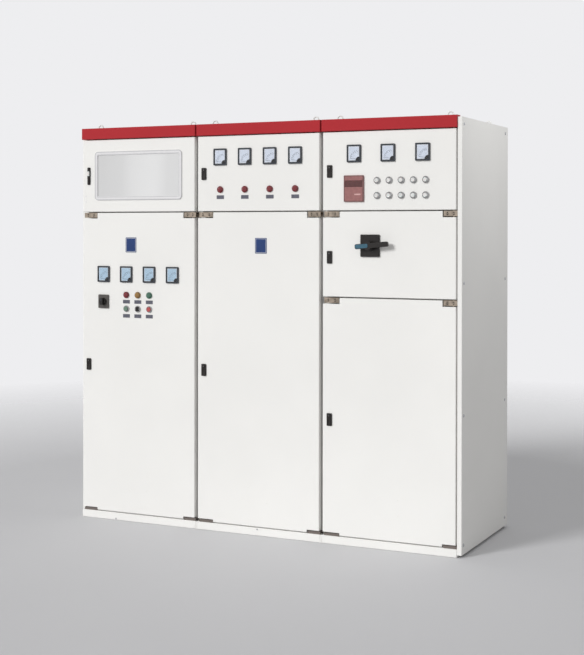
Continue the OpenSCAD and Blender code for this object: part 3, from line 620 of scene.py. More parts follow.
def add_piece(name, shape, spots, finish, body, face="front"):
    """Copies a shape to its spots, as one object at the origin that rides on a body of the frame."""
    bm = copies(shape, spots, face)
    for polygon in bm.faces:
        polygon.smooth = True
    mesh = bpy.data.meshes.new(name)
    bm.to_mesh(mesh)
    bm.free()
    mesh.set_sharp_from_angle(angle=SMOOTH_ANGLE)
    mesh.materials.append(bpy.data.materials[finish])
    piece = bpy.data.objects.new(name, mesh)
    bpy.context.scene.collection.objects.link(piece)
    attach(piece, body)


# Places, read from the frame

def solid_boxes(node):
    """Low and high corners of a node's solids, from left to right and then from top to bottom."""
    bm = bmesh.new()
    bm.from_mesh(frame["nodes"][node].data)
    bmesh.ops.remove_doubles(bm, verts=bm.verts, dist=WELD)
    boxes, seen = [], set()
    for start in bm.verts:
        if start in seen:
            continue
        seen.add(start)
        group, queue = [], [start]
        while queue:
            vert = queue.pop()
            group.append(vert.co.copy())
            for edge in vert.link_edges:
                other = edge.other_vert(vert)
                if other not in seen:
                    seen.add(other)
                    queue.append(other)
        boxes.append((Vector(map(min, *group)), Vector(map(max, *group))))
    bm.free()
    return sorted(boxes, key=lambda box: (round(box[0].x / MM), -round(box[0].z / MM)))


def front_middle(box):
    """Middle of a box's front face."""
    low, high = box
    return Vector(((low[0] + high[0]) / 2, low[1], (low[2] + high[2]) / 2))


def node_front(node):
    return front_middle(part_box(node))


def node_size(node):
    """Width and height of a node."""
    low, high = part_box(node)
    return high[0] - low[0], high[2] - low[2]


def door_front_y():
    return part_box("door_2_lower")[0][1]


def at_depth(spot, y):
    """The same place at another depth."""
    return Vector((spot.x, y, spot.z))


def sheet_spots(node):
    """Middles of a node's solids, on the front sheet of their door."""
    return [at_depth(front_middle(box), door_front_y()) for box in solid_boxes(node)]


def forward(spots, distance):
    """The same places, moved towards the front."""
    return [spot - Vector((0, distance, 0)) for spot in spots]


# Operators

class CABINET_OT_finishes(bpy.types.Operator):
    """Makes the finishes and gives each solid of the frame its own"""
    bl_idname = "cabinet.finishes"
    bl_label = "Finishes"

    slot_finishes = {
        "white_paint": "white_coat",
        "red_paint": "red_coat",
        "zinc_plate": "zinc",
        "eye_steel": "bright_zinc",
        "black_plastic": "black_moulding",
        "gasket_rubber": "rubber",
        "clear_pane": "pane",
        "lamp_plastic": "bezel_grey",
        "red_lens": "bezel_grey",
        "controller_case": "controller",
    }
    node_finishes = {
        "meters_1": "bezel_grey",
        "meters_2": "bezel_grey",
        "meters_3": "bezel_grey",
        "selector_plate": "selector_grey",
        "lamps_3": "chrome",
        "push_buttons": "chrome",
    }

    def execute(self, context):
        make_finishes(context.scene.cabinet_colours)
        for part in frame["record"]["subparts"]:
            node = frame["nodes"][part["node"]]
            finish = self.node_finishes.get(part["node"], self.slot_finishes[part["material_slot"]])
            node.data.materials.clear()
            node.data.materials.append(bpy.data.materials[finish])
        return {"FINISHED"}


class CABINET_OT_dials(bpy.types.Operator):
    """Dial cards, scales, pointers, quarter covers and glasses of the meters"""
    bl_idname = "cabinet.dials"
    bl_label = "Meter dials"

    rows = (
        ("1", "lower_door_1", "dial_blue"),
        ("2", "upper_door_2", "dial_pale"),
        ("3", "upper_door_3", "dial_pale"),
    )
    scale_numbers = ("0", "20", "40", "60", "80", "100")
    scale_start = math.radians(96)
    scale_sweep = math.radians(78)
    scale_line_w = 0.6 * MM
    ticks_between = 4
    long_tick = {"w": 5 * MM, "h": 0.7 * MM, "t": INK_T}
    short_tick = {"w": 3 * MM, "h": 0.4 * MM, "t": INK_T}
    pivot_share = 1 / 3
    needle_share = 0.98
    needle_w = 0.8 * MM
    needle_t = 0.5 * MM
    needle_lift = 0.8 * MM
    needle_rest_share = 0.02
    card_t = 0.6 * MM
    card_margin = 1.5 * MM
    cover_start = math.radians(90)
    cover_sweep = math.radians(90)
    cover_t = 1.4 * MM
    glass_t = 0.8 * MM
    glass_setback = 0.3 * MM

    def scale_angle(self, share):
        return self.scale_start + self.scale_sweep * (1 - share)

    def ink(self, sizes, w, h):
        """Scale, ticks, numbers and pointer about the pivot in the lower right corner."""
        radius, last = sizes.scale_r, len(self.scale_numbers) - 1
        line_r = radius + self.scale_line_w
        shapes = [sector(radius, line_r, self.scale_start, self.scale_sweep, INK_T)]
        steps = last * self.ticks_between
        for k in range(steps + 1):
            tick = self.short_tick if k % self.ticks_between else self.long_tick
            mark = shift(bar(**tick), x=radius + tick["w"] / 2)
            shapes.append(turn(mark, self.scale_angle(k / steps)))
        reach = radius - sizes.number_h
        for k, text in enumerate(self.scale_numbers):
            at = self.scale_angle(k / last)
            mark = figure(text, sizes.number_h)
            shapes.append(shift(mark, x=reach * math.cos(at), z=reach * math.sin(at)))
        needle_l = radius * self.needle_share
        needle = shift(bar(needle_l, self.needle_w, self.needle_t), x=needle_l / 2, y=-self.needle_lift)
        shapes.append(turn(needle, self.scale_angle(self.needle_rest_share)))
        pivot = sizes.dial_cover_r * self.pivot_share
        return shift(merged(*shapes), x=w / 2 - pivot, z=pivot - h / 2)

    def execute(self, context):
        sizes = context.scene.cabinet_sizes
        for row, body, tint in self.rows:
            boxes = solid_boxes("meters_" + row)
            low, high = boxes[0]
            w = high.x - low.x - 2 * sizes.meter_rim
            h = high.z - low.z - 2 * sizes.meter_rim
            cards = forward(map(front_middle, boxes), -sizes.dial_recess)
            fields = forward(cards, self.card_t)
            marks = forward(fields, INK_T)
            glasses = forward(cards, sizes.dial_recess - self.glass_t - self.glass_setback)
            card = plate(w, h, self.card_t)
            field = plate(w - 2 * self.card_margin, h - 2 * self.card_margin, INK_T)
            cover = sector(0, sizes.dial_cover_r, self.cover_start, self.cover_sweep, self.cover_t)
            shift(cover, x=w / 2, z=-h / 2)
            glass = plate(w, h, self.glass_t)
            add_piece("dial_cards_" + row, card, cards, "plate_white", body)
            add_piece("dial_faces_" + row, field, fields, tint, body)
            add_piece("dial_ink_" + row, self.ink(sizes, w, h), marks, "ink", body)
            add_piece("dial_covers_" + row, cover, marks, "black_moulding", body)
            add_piece("dial_glasses_" + row, glass, glasses, "dial_glass", body)
        return {"FINISHED"}


class LampShapes:
    """Turned covers that lamps and buttons share, a hair over their solids."""

    lens_sink = MM
    lens_rim_h = 3 * MM
    lens_step = 0.6 * MM
    dome_share = 0.96
    bezel_foot = 0.2 * MM
    bezel_cover = 0.4 * MM
    roll_share = 0.55
    cap_edge = 1.2 * MM
    cap_dish = 0.4 * MM
    dish_share = 0.6

    def lens(self, sizes, d):
        """Domed lens with a step at its rim."""
        radius, top, foot = d / 2, sizes.lens_h + HAIR, sizes.bezel_h - self.lens_sink
        rim = foot + self.lens_rim_h
        dome = [(radius * self.dome_share * math.cos(a), rim + (top - rim) * math.sin(a))
                for a in arc(math.pi / 2, ROLL_STEPS)]
        dome[-1] = (0, top)
        return turned([(0, foot), (radius, foot), (radius, rim - self.lens_step)] + dome)

    def bezel(self, sizes, inner):
        """Rolled ring round a lens or a cap."""
        outer = sizes.bezel_d / 2 + HAIR
        middle, half = (outer + inner) / 2, (outer - inner) / 2
        roll_h = (sizes.bezel_h + self.bezel_cover) * self.roll_share
        roll = [(middle + half * math.cos(a), roll_h * (1 + math.sin(a)))
                for a in arc(math.pi, ROLL_STEPS)]
        return turned([(inner, self.bezel_foot), (outer, self.bezel_foot)] + roll, ring=True)

    def cap(self, d, top):
        """Flat cap with a softened edge and a dished face."""
        radius = d / 2
        edge = [(radius, 0), (radius, top - self.cap_edge), (radius - self.cap_edge, top)]
        dish = [(radius * self.dish_share, top - self.cap_dish), (0, top - 2 * self.cap_dish)]
        return turned([(0, 0)] + edge + dish)


class CABINET_OT_lamps(LampShapes, bpy.types.Operator):
    """Lenses and bezels of the signal lamps"""
    bl_idname = "cabinet.lamps"
    bl_label = "Signal lamps"

    tints = ("red", "amber", "green")
    block_lens_rise = 1.5 * MM
    block_bezel_gap = 4 * MM

    def lamp(self, sizes):
        return merged(self.lens(sizes, sizes.lens_d), self.bezel(sizes, sizes.lens_d / 2))

    def execute(self, context):
        sizes = context.scene.cabinet_sizes
        for spot, tint in zip(sheet_spots("lamps_1"), self.tints):
            lens = "lens_" + tint
            add_piece(lens, self.lamp(sizes), [spot], lens, "lower_door_1")
        row = sheet_spots("lamps_2")
        add_piece("lenses_2", self.lamp(sizes), row, "lens_red", "upper_door_2")
        block = sheet_spots("lamps_3")
        lens = self.cap(sizes.block_lens_d, sizes.lens_h + self.block_lens_rise)
        add_piece("lenses_3", lens, block, "lens_clear", "upper_door_3")
        bezel = self.bezel(sizes, sizes.block_lens_d / 2 + self.block_bezel_gap)
        add_piece("lamp_bezels_3", bezel, block, "chrome", "upper_door_3")
        return {"FINISHED"}


class CABINET_OT_buttons(LampShapes, bpy.types.Operator):
    """Caps and bezels of the push buttons and the small turn switch"""
    bl_idname = "cabinet.buttons"
    bl_label = "Push buttons"

    cap_margin = 3 * MM
    cap_drop = 3 * MM
    switch_drop = MM
    grip = {"w": 9 * MM, "h": 24 * MM, "t": 8 * MM, "corner": 3 * MM, "edge": MM}

    def execute(self, context):
        sizes = context.scene.cabinet_sizes
        body, slot = "lower_door_1", "lamp_plastic"
        spots = sheet_spots("push_buttons")
        green, switch, red = spots
        cap_d, top = sizes.lens_d - 2 * self.cap_margin, sizes.lens_h - self.cap_drop
        add_piece("button_cap_green", self.cap(cap_d, top), [green], "cap_green", body)
        add_piece("button_cap_red", self.cap(cap_d, top), [red], "cap_red", body)
        switch_top = top - self.switch_drop
        grip = merged(self.cap(cap_d, switch_top), shift(plate(**self.grip), y=-switch_top))
        add_piece("turn_switch_grip", grip, [switch], "black_moulding", body)
        add_piece("button_bezels", self.bezel(sizes, cap_d / 2), spots, "chrome", body)
        return {"FINISHED"}


class CABINET_OT_labels(bpy.types.Operator):
    """Bare label strips under the lamps and buttons"""
    bl_idname = "cabinet.labels"
    bl_label = "Label strips"

    holder = {"t": 1.2 * MM, "corner": 1.5 * MM, "edge": 0.4 * MM}
    border = 1.6 * MM
    depth = 0.5 * MM

    def execute(self, context):
        sizes = context.scene.cabinet_sizes
        rows = (
            ("lamps_1", "lower_door_1", sizes.label_drop),
            ("push_buttons", "lower_door_1", sizes.button_label_drop),
            ("lamps_2", "upper_door_2", sizes.upper_label_drop),
        )
        for node, body, drop in rows:
            spots = [spot - Vector((0, 0, drop)) for spot in sheet_spots(node)]
            strip = hollow(plate(sizes.label_w, sizes.label_h, **self.holder), self.border, self.depth)
            add_piece("labels_" + node, strip, spots, "label", body)
        return {"FINISHED"}


class CABINET_OT_plates(bpy.types.Operator):
    """Bare blue plates with a white keyline on the tall doors"""
    bl_idname = "cabinet.plates"
    bl_label = "Blue plates"

    sheet = {"t": 1.2 * MM, "corner": 3 * MM, "edge": 0.4 * MM}
    keyline = {"margin": 4 * MM, "width": 1.6 * MM, "t": -0.1 * MM}

    def execute(self, context):
        sizes = context.scene.cabinet_sizes
        w, h = sizes.plate_w, sizes.plate_h
        for door, x in (("1", sizes.left_plate_x), ("2", sizes.middle_plate_x)):
            node, body = f"door_{door}_lower", f"lower_door_{door}"
            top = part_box(node)[1][2]
            spots = [Vector((node_front(node).x + x, door_front_y(), top - sizes.plate_drop))]
            sheet = plate(w, h, **self.sheet)
            add_piece("blue_plate_" + door, sheet, spots, "plate_blue", body)
            keyline = outline_strip(rectangle(w, h), **self.keyline)
            faces = forward(spots, self.sheet["t"])
            add_piece("plate_keyline_" + door, keyline, faces, "plate_white", body)
        return {"FINISHED"}


class CABINET_OT_gasket_lips(bpy.types.Operator):
    """Raised lips along the edges of the window gasket, in a darker grey that paints shade along its
    edges
    """
    bl_idname = "cabinet.gasket_lips"
    bl_label = "Gasket lips"

    lips = {
        "outer": {"margin": 0.5 * MM, "width": 4 * MM},
        "inner": {"margin": 16 * MM, "width": 2.5 * MM},
    }
    lip_t = 0.4 * MM
    corner = 21 * MM

    def execute(self, context):
        outline = rectangle(*node_size("window_gasket"))
        spots = [node_front("window_gasket")]
        for name, lip in self.lips.items():
            strip = outline_strip(outline, **lip, t=-self.lip_t, corner=self.corner)
            add_piece("gasket_lip_" + name, strip, spots, "gasket_lip", "upper_door_1")
        return {"FINISHED"}


class CABINET_OT_locks(bpy.types.Operator):
    """Levers, buttons and keyways of the door locks"""
    bl_idname = "cabinet.locks"
    bl_label = "Door locks"

    doors = (
        ("1", "lower"), ("2", "upper"), ("2", "lower"), ("3", "upper"), ("3", "middle"), ("3", "lower"),
    )
    flap_w_share = 0.72
    flap_h_share = 0.56
    flap_drop_share = 0.15
    flap = {"t": 2 * MM, "corner": 3 * MM, "edge": 0.8 * MM}
    flap_border = 2.2 * MM
    flap_depth = 0.9 * MM
    button_r_share = 0.25
    button_face_share = 0.21
    button_rise_share = 0.31
    button_side_h = 2 * MM
    button_h = 2.8 * MM
    keyway = {"w": 1.4 * MM, "h": 6 * MM, "t": 0.3 * MM, "corner": 0.6 * MM}
    keyway_sink = 0.1 * MM
    slim_flap_w_share = 0.75
    slim_flap_h_share = 0.27
    slim_flap_rise_share = 0.14
    slim_flap = {"t": 4 * MM, "corner": 2.5 * MM, "edge": 1.2 * MM}
    barrel_drop_share = 0.3
    barrel = {"radius": 5 * MM, "side_h": 1.6 * MM, "face_r": 4.4 * MM, "h": 2.2 * MM}

    def lever(self, w, h):
        """Raised flap with a finger hollow and a round push button above it."""
        flap = plate(w * self.flap_w_share, h * self.flap_h_share, **self.flap)
        hollow(flap, self.flap_border, self.flap_depth)
        shift(flap, z=-h * self.flap_drop_share)
        button_r, face_r = w * self.button_r_share, w * self.button_face_share
        button = stub(button_r, self.button_side_h, face_r, self.button_h)
        return merged(flap, shift(button, z=h * self.button_rise_share))

    def execute(self, context):
        for door, level in self.doors:
            node, body = f"lock_{door}_{level}", f"{level}_door_{door}"
            w, h = node_size(node)
            spots = [node_front(node)]
            add_piece(node + "_lever", self.lever(w, h), spots, "black_moulding", body)
            keyway = plate(**self.keyway)
            shift(keyway, y=self.keyway_sink - self.button_h, z=h * self.button_rise_share)
            add_piece(node + "_keyway", keyway, spots, "steel", body)
        node, body = "lock_1_upper", "upper_door_1"
        w, h = node_size(node)
        spots = [node_front(node)]
        lever = plate(w * self.slim_flap_w_share, h * self.slim_flap_h_share, **self.slim_flap)
        shift(lever, z=h * self.slim_flap_rise_share)
        add_piece("slim_lock_lever", lever, spots, "lens_clear", body)
        barrel = shift(stub(**self.barrel), z=-h * self.barrel_drop_share)
        add_piece("slim_lock_barrel", barrel, spots, "black_moulding", body)
        return {"FINISHED"}


class CABINET_OT_bracket_screws(bpy.types.Operator):
    """Slots and screws in the brackets at the door corners; the slots are thin black plates that paint
    the shade inside them
    """
    bl_idname = "cabinet.bracket_screws"
    bl_label = "Bracket screws"

    screw_shares = (0.27, 0.73)
    screw_d = 7 * MM
    screw_h = 2 * MM
    slot_shade = {"w": 8 * MM, "h": 15 * MM, "t": 0.3 * MM, "corner": 3.9 * MM}

    def execute(self, context):
        keepers = [box for box in solid_boxes("keeper_brackets") if box[0].z > FOOT_BRACKET_H]
        hinges = solid_boxes("hinge_brackets")
        spots = []
        for low, high in keepers:
            middle_z = (low.z + high.z) / 2
            same_slit = [box for box in hinges if box[0].z < middle_z < box[1].z and box[0].x > low.x]
            mate = min(same_slit, key=lambda box: box[0].x)
            for near, far in ((low, high), mate):
                for share in self.screw_shares:
                    spots.append(Vector((near.x + (far.x - near.x) * share, low.y, middle_z)))
        screw = domed_head(self.screw_d, self.screw_h)
        # Painted shade: a thin black plate stands for the dark inside of each slot
        add_piece("bracket_slots", plate(**self.slot_shade), spots, "black_moulding", "cabinet")
        add_piece("bracket_screws", screw, spots, "zinc", "cabinet")
        return {"FINISHED"}


class CABINET_OT_seals(bpy.types.Operator):
    """Foam seals on the backs of the doors, in a pale tone that paints light into the slits between the
    doors
    """
    bl_idname = "cabinet.seals"
    bl_label = "Door seals"

    doors = (
        ("1", "upper"), ("2", "upper"), ("3", "upper"), ("1", "lower"), ("2", "lower"), ("3", "middle"),
        ("3", "lower"),
    )
    top_notches = {"upper": 0.0, "middle": 31 * MM, "lower": 31 * MM}
    foot_notches = {"upper": 0.0, "middle": 0.0, "lower": 14 * MM}
    hinge_notch_w = 72 * MM
    keeper_notch_w = 96 * MM

    def edge(self, left, right, z, inner_z):
        """Corners from left to right along an edge at z, which steps to inner_z where brackets sit."""
        if z == inner_z:
            return [(left, z), (right, z)]
        keep, hinge = left + self.keeper_notch_w, right - self.hinge_notch_w
        return [(left, inner_z), (keep, inner_z), (keep, z),
                (hinge, z), (hinge, inner_z), (right, inner_z)]

    def execute(self, context):
        sizes = context.scene.cabinet_sizes
        for door, level in self.doors:
            node, body = f"door_{door}_{level}", f"{level}_door_{door}"
            (left, _, foot), (right, back, top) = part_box(node)
            corners = self.edge(left, right, foot, foot + self.foot_notches[level])
            corners += reversed(self.edge(left, right, top, top - self.top_notches[level]))
            seal = outline_strip(corners, sizes.seal_edge, sizes.seal_w, sizes.seal_t)
            add_piece("seal_" + node, seal, [Vector((0, back, 0))], "foam", body)
        return {"FINISHED"}


class CABINET_OT_joint_strips(bpy.types.Operator):
    """Painted strips that close the joints between neighbouring plinths"""
    bl_idname = "cabinet.joint_strips"
    bl_label = "Plinth joints"

    setback = MM
    strip_t = 4 * MM
    edge_share = 1 / 8

    def execute(self, context):
        boxes = solid_boxes("plinths")
        low, high = boxes[0]
        gap = boxes[1][0].x - high.x
        y = low.y + self.setback + self.strip_t
        spots = [Vector((near.x + gap / 2, y, high.z / 2)) for _, near in boxes[:-1]]
        strip = plate(gap, high.z - low.z, self.strip_t, edge=self.strip_t * self.edge_share)
        add_piece("plinth_joint_strips", strip, spots, "white_coat", "cabinet")
        return {"FINISHED"}


class CABINET_OT_rivets(bpy.types.Operator):
    """Painted rivets on the lowest doors and small plugs on the window door and the plinths"""
    bl_idname = "cabinet.rivets"
    bl_label = "Rivets and plugs"

    rivet_h = 1.6 * MM
    plug_h = 1.2 * MM
    plug_edge = 17 * MM
    plug_heights = (57 * MM, 89 * MM)
    plinth_plug_d = 10 * MM
    plinth_plugs = ((-895 * MM, 8 * MM), (1 * MM, 34 * MM))

    def execute(self, context):
        sizes = context.scene.cabinet_sizes
        for door in ("1", "2", "3"):
            node = f"door_{door}_lower"
            _, front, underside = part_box(node)[0]
            middle, foot = node_front(node).x, underside + sizes.rivet_foot_h
            spots = [Vector((middle + side * sizes.rivet_span_x / 2, front, foot + up))
                     for side in (-1, 1) for up in (0, sizes.rivet_span_z)]
            rivet = domed_head(sizes.rivet_d, self.rivet_h)
            add_piece("rivets_" + door, rivet, spots, "white_coat", f"lower_door_{door}")
        left, front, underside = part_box("door_1_upper")[0]
        spots = [Vector((left + self.plug_edge, front, underside + up)) for up in self.plug_heights]
        plug = domed_head(sizes.rivet_d, self.plug_h)
        add_piece("window_door_plugs", plug, spots, "rubber", "upper_door_1")
        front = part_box("plinths")[0][1]
        spots = [Vector((x, front, z)) for x, z in self.plinth_plugs]
        plug = domed_head(self.plinth_plug_d, self.plug_h)
        add_piece("plinth_plugs", plug, spots, "steel", "cabinet")
        return {"FINISHED"}


class CABINET_OT_panel_bolts(bpy.types.Operator):
    """Bolts of the end panels, rear panels and roof covers"""
    bl_idname = "cabinet.panel_bolts"
    bl_label = "Panel bolts"

    panel_faces = {"right_end": "right", "left_end": "left", "rear": "rear", "roof": "top"}
    height_shares = (0.028, 0.322, 0.623, 0.984)
    roof_shares = (0.2, 0.5, 0.8)
    rear_edge_factor = 2
    head_t = 4 * MM
    chamfer_share = 1 / 6
    washer_r_share = 0.72
    washer_t_share = 1 / 4
    washer_side_share = 0.7
    washer_face_share = 0.95

    def head(self, across):
        """Hexagon head with a chamfered front on a thin washer."""
        t = self.head_t
        bm = bmesh.new()
        lie = Matrix.Rotation(math.pi / 2, 4, "X")
        bmesh.ops.create_cone(
            bm, cap_ends=True, segments=6, radius1=across / 2, radius2=across / 2, depth=t,
            matrix=Matrix.Translation((0, -t / 2, 0)) @ lie)
        soften(bm, front_rim(bm, t), t * self.chamfer_share, CHAMFER_STEPS)
        washer_r, washer_t = across * self.washer_r_share, t * self.washer_t_share
        side_h, face_r = washer_t * self.washer_side_share, washer_r * self.washer_face_share
        return merged(bm, stub(washer_r, side_h, face_r, washer_t))

    def execute(self, context):
        sizes = context.scene.cabinet_sizes
        edge = sizes.bolt_edge
        spots = {panel: [] for panel in self.panel_faces}
        for side, outer in (("right", 1), ("left", 0)):
            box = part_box("end_panel_" + side)
            (_, front, _), (_, back, top) = box
            spots[side + "_end"] = [
                Vector((box[outer][0], y, top * share))
                for y in (front + edge, back - self.rear_edge_factor * edge)
                for share in self.height_shares]
        for low, high in solid_boxes("rear_panels"):
            spots["rear"] += [
                Vector((x, high.y, low.z + (high.z - low.z) * share))
                for x in (low.x + edge, high.x - edge) for share in self.height_shares]
        for low, high in solid_boxes("roof_covers"):
            spots["roof"] += [
                Vector((low.x + (high.x - low.x) * share, y, high.z))
                for y in (low.y + edge, high.y - edge) for share in self.roof_shares]
        for panel, face in self.panel_faces.items():
            head = self.head(sizes.bolt_d)
            add_piece("bolts_" + panel, head, spots[panel], "steel", "cabinet", face)
        return {"FINISHED"}


class CABINET_OT_controller(bpy.types.Operator):
    """Raised edge, smoked display and blank strip of the controller"""
    bl_idname = "cabinet.controller"
    bl_label = "Controller face"

    rim = {"margin": MM, "width": 4.5 * MM, "t": -0.8 * MM, "corner": 2 * MM}
    display_drop = 26 * MM
    display_w = 100 * MM
    display_h = 34 * MM
    display_recess = 3 * MM
    display_gap = 0.5 * MM
    display_setback = MM
    display = {"corner": MM, "edge": 0.4 * MM}
    strip = {"w": 34 * MM, "h": 7 * MM, "t": 0.6 * MM, "corner": MM, "edge": 0.2 * MM}
    strip_x = 22 * MM
    strip_drop = 98 * MM

    def execute(self, context):
        spots = [node_front("controller")]
        body, slot = "upper_door_3", "controller_case"
        w, h = node_size("controller")
        rim = outline_strip(rectangle(w, h), **self.rim)
        add_piece("controller_rim", rim, spots, "controller_rim", body)
        pane_w, pane_h = self.display_w - 2 * self.display_gap, self.display_h - 2 * self.display_gap
        display = plate(pane_w, pane_h, self.display_recess - self.display_setback, **self.display)
        shift(display, y=self.display_recess, z=h / 2 - self.display_drop - self.display_h / 2)
        add_piece("controller_display", display, spots, "display", body)
        strip = shift(plate(**self.strip), x=self.strip_x, z=h / 2 - self.strip_drop)
        add_piece("controller_strip", strip, spots, "pale_rose", body)
        return {"FINISHED"}


class CABINET_OT_isolator(bpy.types.Operator):
    """Trim of the isolator handle: raised frame, screws and a thin blue-grey plate on the lever's short
    arm
    """
    bl_idname = "cabinet.isolator"
    bl_label = "Isolator handle"

    base_t = 9 * MM
    rim_margin = 3 * MM
    rim = {"t": 1.6 * MM, "corner": 6 * MM, "edge": 0.6 * MM}
    rim_border = 5 * MM
    rim_depth = 1.2 * MM
    screw_d = 7 * MM
    screw_h = 1.6 * MM
    screw_inset = 14 * MM
    screw_lift = 0.4 * MM
    rest_tilt = math.radians(5)
    lever_short = 69 * MM
    lever_h = 26 * MM
    insert = {"t": 1.4 * MM, "corner": 7 * MM, "edge": 0.6 * MM}
    blue_patch_margin = 2.5 * MM

    def execute(self, context):
        w, h = node_size("isolator_base")
        hub = at_depth(node_front("isolator_base"), door_front_y() - self.base_t)
        body, finish, slot = "middle_door_3", "black_moulding", "black_plastic"
        rim = plate(w - 2 * self.rim_margin, h - 2 * self.rim_margin, **self.rim)
        add_piece("isolator_rim", hollow(rim, self.rim_border, self.rim_depth), [hub], finish, body)
        across, up = w / 2 - self.screw_inset, h / 2 - self.screw_inset
        spots = [hub + Vector((sx * across, -self.screw_lift, sz * up))
                 for sx in (-1, 1) for sz in (-1, 1)]
        add_piece("isolator_screws", domed_head(self.screw_d, self.screw_h), spots, finish, body)
        insert = plate(self.lever_short, self.lever_h - 2 * self.blue_patch_margin, **self.insert)
        turn(shift(insert, x=self.blue_patch_margin - self.lever_short / 2), self.rest_tilt)
        pivot = at_depth(hub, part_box("isolator_lever")[0][1])
        add_piece("lever_insert", insert, [pivot], "lever_blue", "isolator_handle")
        return {"FINISHED"}


class CABINET_OT_selector(bpy.types.Operator):
    """Pointer line of the selector switch"""
    bl_idname = "cabinet.selector"
    bl_label = "Selector switch"

    line = {"w": 2 * MM, "h": 15 * MM, "t": 0.3 * MM, "corner": 0.9 * MM}
    line_rise = 10 * MM

    def execute(self, context):
        front = at_depth(node_front("selector_plate"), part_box("selector_knob")[0][1])
        line = shift(plate(**self.line), z=self.line_rise)
        add_piece("selector_line", line, [front], "label", "selector")
        return {"FINISHED"}


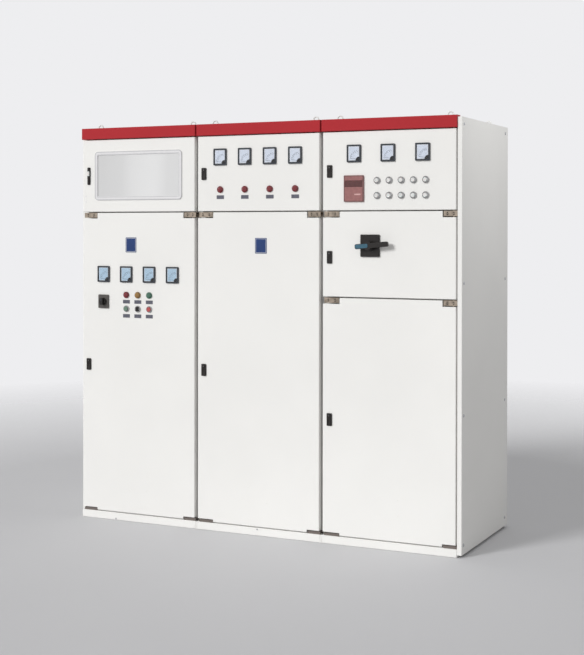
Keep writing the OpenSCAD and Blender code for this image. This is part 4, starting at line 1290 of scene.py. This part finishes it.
class CABINET_OT_stage(bpy.types.Operator):
    """Pale floor, soft light and the camera"""
    bl_idname = "cabinet.stage"
    bl_label = "Stage"

    floor_steps = 96
    floor_r = 9.0
    floor_solid_r = 2.5
    floor_fade_share = 0.8
    floor_drop = 0.5 * MM

    # Upward shares of a direction, between which the light from below turns into that from above
    horizon_shares = (-0.3, 0.6)

    def floor(self, colours):
        """Pale disc that fades out before its edge, so no horizon shows."""
        bm = bmesh.new()
        bmesh.ops.create_circle(bm, cap_ends=True, segments=self.floor_steps, radius=self.floor_r)
        mesh = bpy.data.meshes.new("floor")
        bm.to_mesh(mesh)
        bm.free()
        floor = bpy.data.objects.new("floor", mesh)
        floor.location.z = -self.floor_drop
        bpy.context.scene.collection.objects.link(floor)
        finish = Finish("floor", roughness=0.8)
        finish.mottle(colours.floor, dark=0.985, light=1, scale=0.8)
        reach = finish.add("ShaderNodeVectorMath", operation="LENGTH")
        finish.link(finish.coordinates(), reach.inputs[0])
        edge = (self.floor_solid_r, self.floor_r * self.floor_fade_share)
        finish.drive("Alpha", finish.spread(reach.outputs["Value"], edge, (1, 0)))
        mesh.materials.append(finish.material)

    def world(self, colours, stage):
        """Soft light from above and below; the camera and the gloss see a plain pale background."""
        world = bpy.data.worlds.new("studio")
        bpy.context.scene.world = world
        world.use_nodes = True
        world.node_tree.nodes.clear()
        nodes = Nodes(world.node_tree)
        height = nodes.along(nodes.add("ShaderNodeTexCoord").outputs["Generated"], "Z")
        strengths = (stage.ground_strength, stage.sky_strength)
        strength = nodes.spread(height, self.horizon_shares, strengths)
        light = nodes.add("ShaderNodeBackground")
        seen = nodes.add("ShaderNodeBackground", {"Color": (*colours.background, 1)})
        path = nodes.add("ShaderNodeLightPath")
        plain = path.outputs["Is Camera Ray"]
        for ray in ("Is Glossy Ray", "Is Transmission Ray"):
            either = nodes.add("ShaderNodeMath", operation="MAXIMUM")
            nodes.link(plain, either.inputs[0])
            nodes.link(path.outputs[ray], either.inputs[1])
            plain = either.outputs["Value"]
        mix = nodes.add("ShaderNodeMixShader")
        output = nodes.add("ShaderNodeOutputWorld")
        nodes.link(strength, light.inputs["Strength"])
        nodes.link(plain, mix.inputs["Fac"])
        nodes.link(light.outputs["Background"], mix.inputs[1])
        nodes.link(seen.outputs["Background"], mix.inputs[2])
        nodes.link(mix.outputs["Shader"], output.inputs["Surface"])

    def lamp(self, name, kind, power, side):
        """Lamp that shines from a side of the row."""
        light = bpy.data.lights.new(name, kind)
        light.energy = power
        lamp = bpy.data.objects.new(name, light)
        lamp.rotation_euler = Vector(side).to_track_quat("Z", "Y").to_euler()
        bpy.context.scene.collection.objects.link(lamp)
        return lamp

    def lamps(self, stage):
        """Broad key light from the front left, and a soft lamp beside the top of the right end panel."""
        key = self.lamp("key", "SUN", stage.key_strength, stage.key_from)
        key.data.angle = stage.key_spread
        key.visible_glossy = False
        fill = self.lamp("fill", "AREA", stage.fill_power, stage.fill_from)
        fill.data.size = stage.fill_size
        fill.location = stage.fill_place
        fill.visible_camera = False

    def camera(self, stage):
        """Camera from its place, angles, focal length and optical centre in the picture."""
        yaw, pitch, roll = stage.camera_yaw, stage.camera_pitch, stage.camera_roll
        flat_share = math.cos(pitch)
        ahead = Vector((-math.sin(yaw) * flat_share, math.cos(yaw) * flat_share, -math.sin(pitch)))
        level = Vector((math.cos(yaw), math.sin(yaw), 0))
        upright = level.cross(ahead)
        right = level * math.cos(roll) + upright * math.sin(roll)
        up = upright * math.cos(roll) - level * math.sin(roll)
        data = bpy.data.cameras.new("camera")
        long_side = max(stage.frame_w, stage.frame_h)
        data.lens = stage.focal / long_side * data.sensor_width
        data.shift_x = (stage.frame_w / 2 - stage.centre_x) / long_side
        data.shift_y = (stage.centre_y - stage.frame_h / 2) / long_side
        camera = bpy.data.objects.new("camera", data)
        turned_axes = Matrix((right, up, -ahead)).transposed().to_4x4()
        camera.matrix_world = Matrix.Translation(stage.camera_place) @ turned_axes
        bpy.context.scene.collection.objects.link(camera)
        bpy.context.scene.camera = camera

    def execute(self, context):
        colours, stage = context.scene.cabinet_colours, context.scene.cabinet_stage
        context.scene.view_settings.view_transform = "Standard"
        self.floor(colours)
        self.world(colours, stage)
        self.lamps(stage)
        self.camera(stage)
        return {"FINISHED"}


OPERATORS = (
    CABINET_OT_finishes,
    CABINET_OT_dials,
    CABINET_OT_lamps,
    CABINET_OT_buttons,
    CABINET_OT_labels,
    CABINET_OT_plates,
    CABINET_OT_gasket_lips,
    CABINET_OT_locks,
    CABINET_OT_bracket_screws,
    CABINET_OT_seals,
    CABINET_OT_joint_strips,
    CABINET_OT_rivets,
    CABINET_OT_panel_bolts,
    CABINET_OT_controller,
    CABINET_OT_isolator,
    CABINET_OT_selector,
    CABINET_OT_stage,
)


class CABINET_PT_panel(bpy.types.Panel):
    """Lists the steps that dress the cabinet row"""
    bl_idname = "CABINET_PT_panel"
    bl_label = "Cabinet"
    bl_space_type = "VIEW_3D"
    bl_region_type = "UI"
    bl_category = "Cabinet"

    def draw(self, context):
        for operator in OPERATORS:
            self.layout.operator(operator.bl_idname)
        for group, kind in PROPERTY_GROUPS.items():
            box = self.layout.box()
            for name in kind.__annotations__:
                box.prop(getattr(context.scene, group), name)


CLASSES = (*PROPERTY_GROUPS.values(), *OPERATORS, CABINET_PT_panel)


def register():
    for cls in CLASSES:
        bpy.utils.register_class(cls)
    for group, kind in PROPERTY_GROUPS.items():
        setattr(bpy.types.Scene, group, bpy.props.PointerProperty(type=kind))


def unregister():
    for group in PROPERTY_GROUPS:
        delattr(bpy.types.Scene, group)
    for cls in reversed(CLASSES):
        bpy.utils.unregister_class(cls)


def main():
    """Dresses the row step by step."""
    register()
    for operator in OPERATORS:
        group, step = operator.bl_idname.split(".")
        getattr(getattr(bpy.ops, group), step)()


if __name__ == "__main__":
    main()
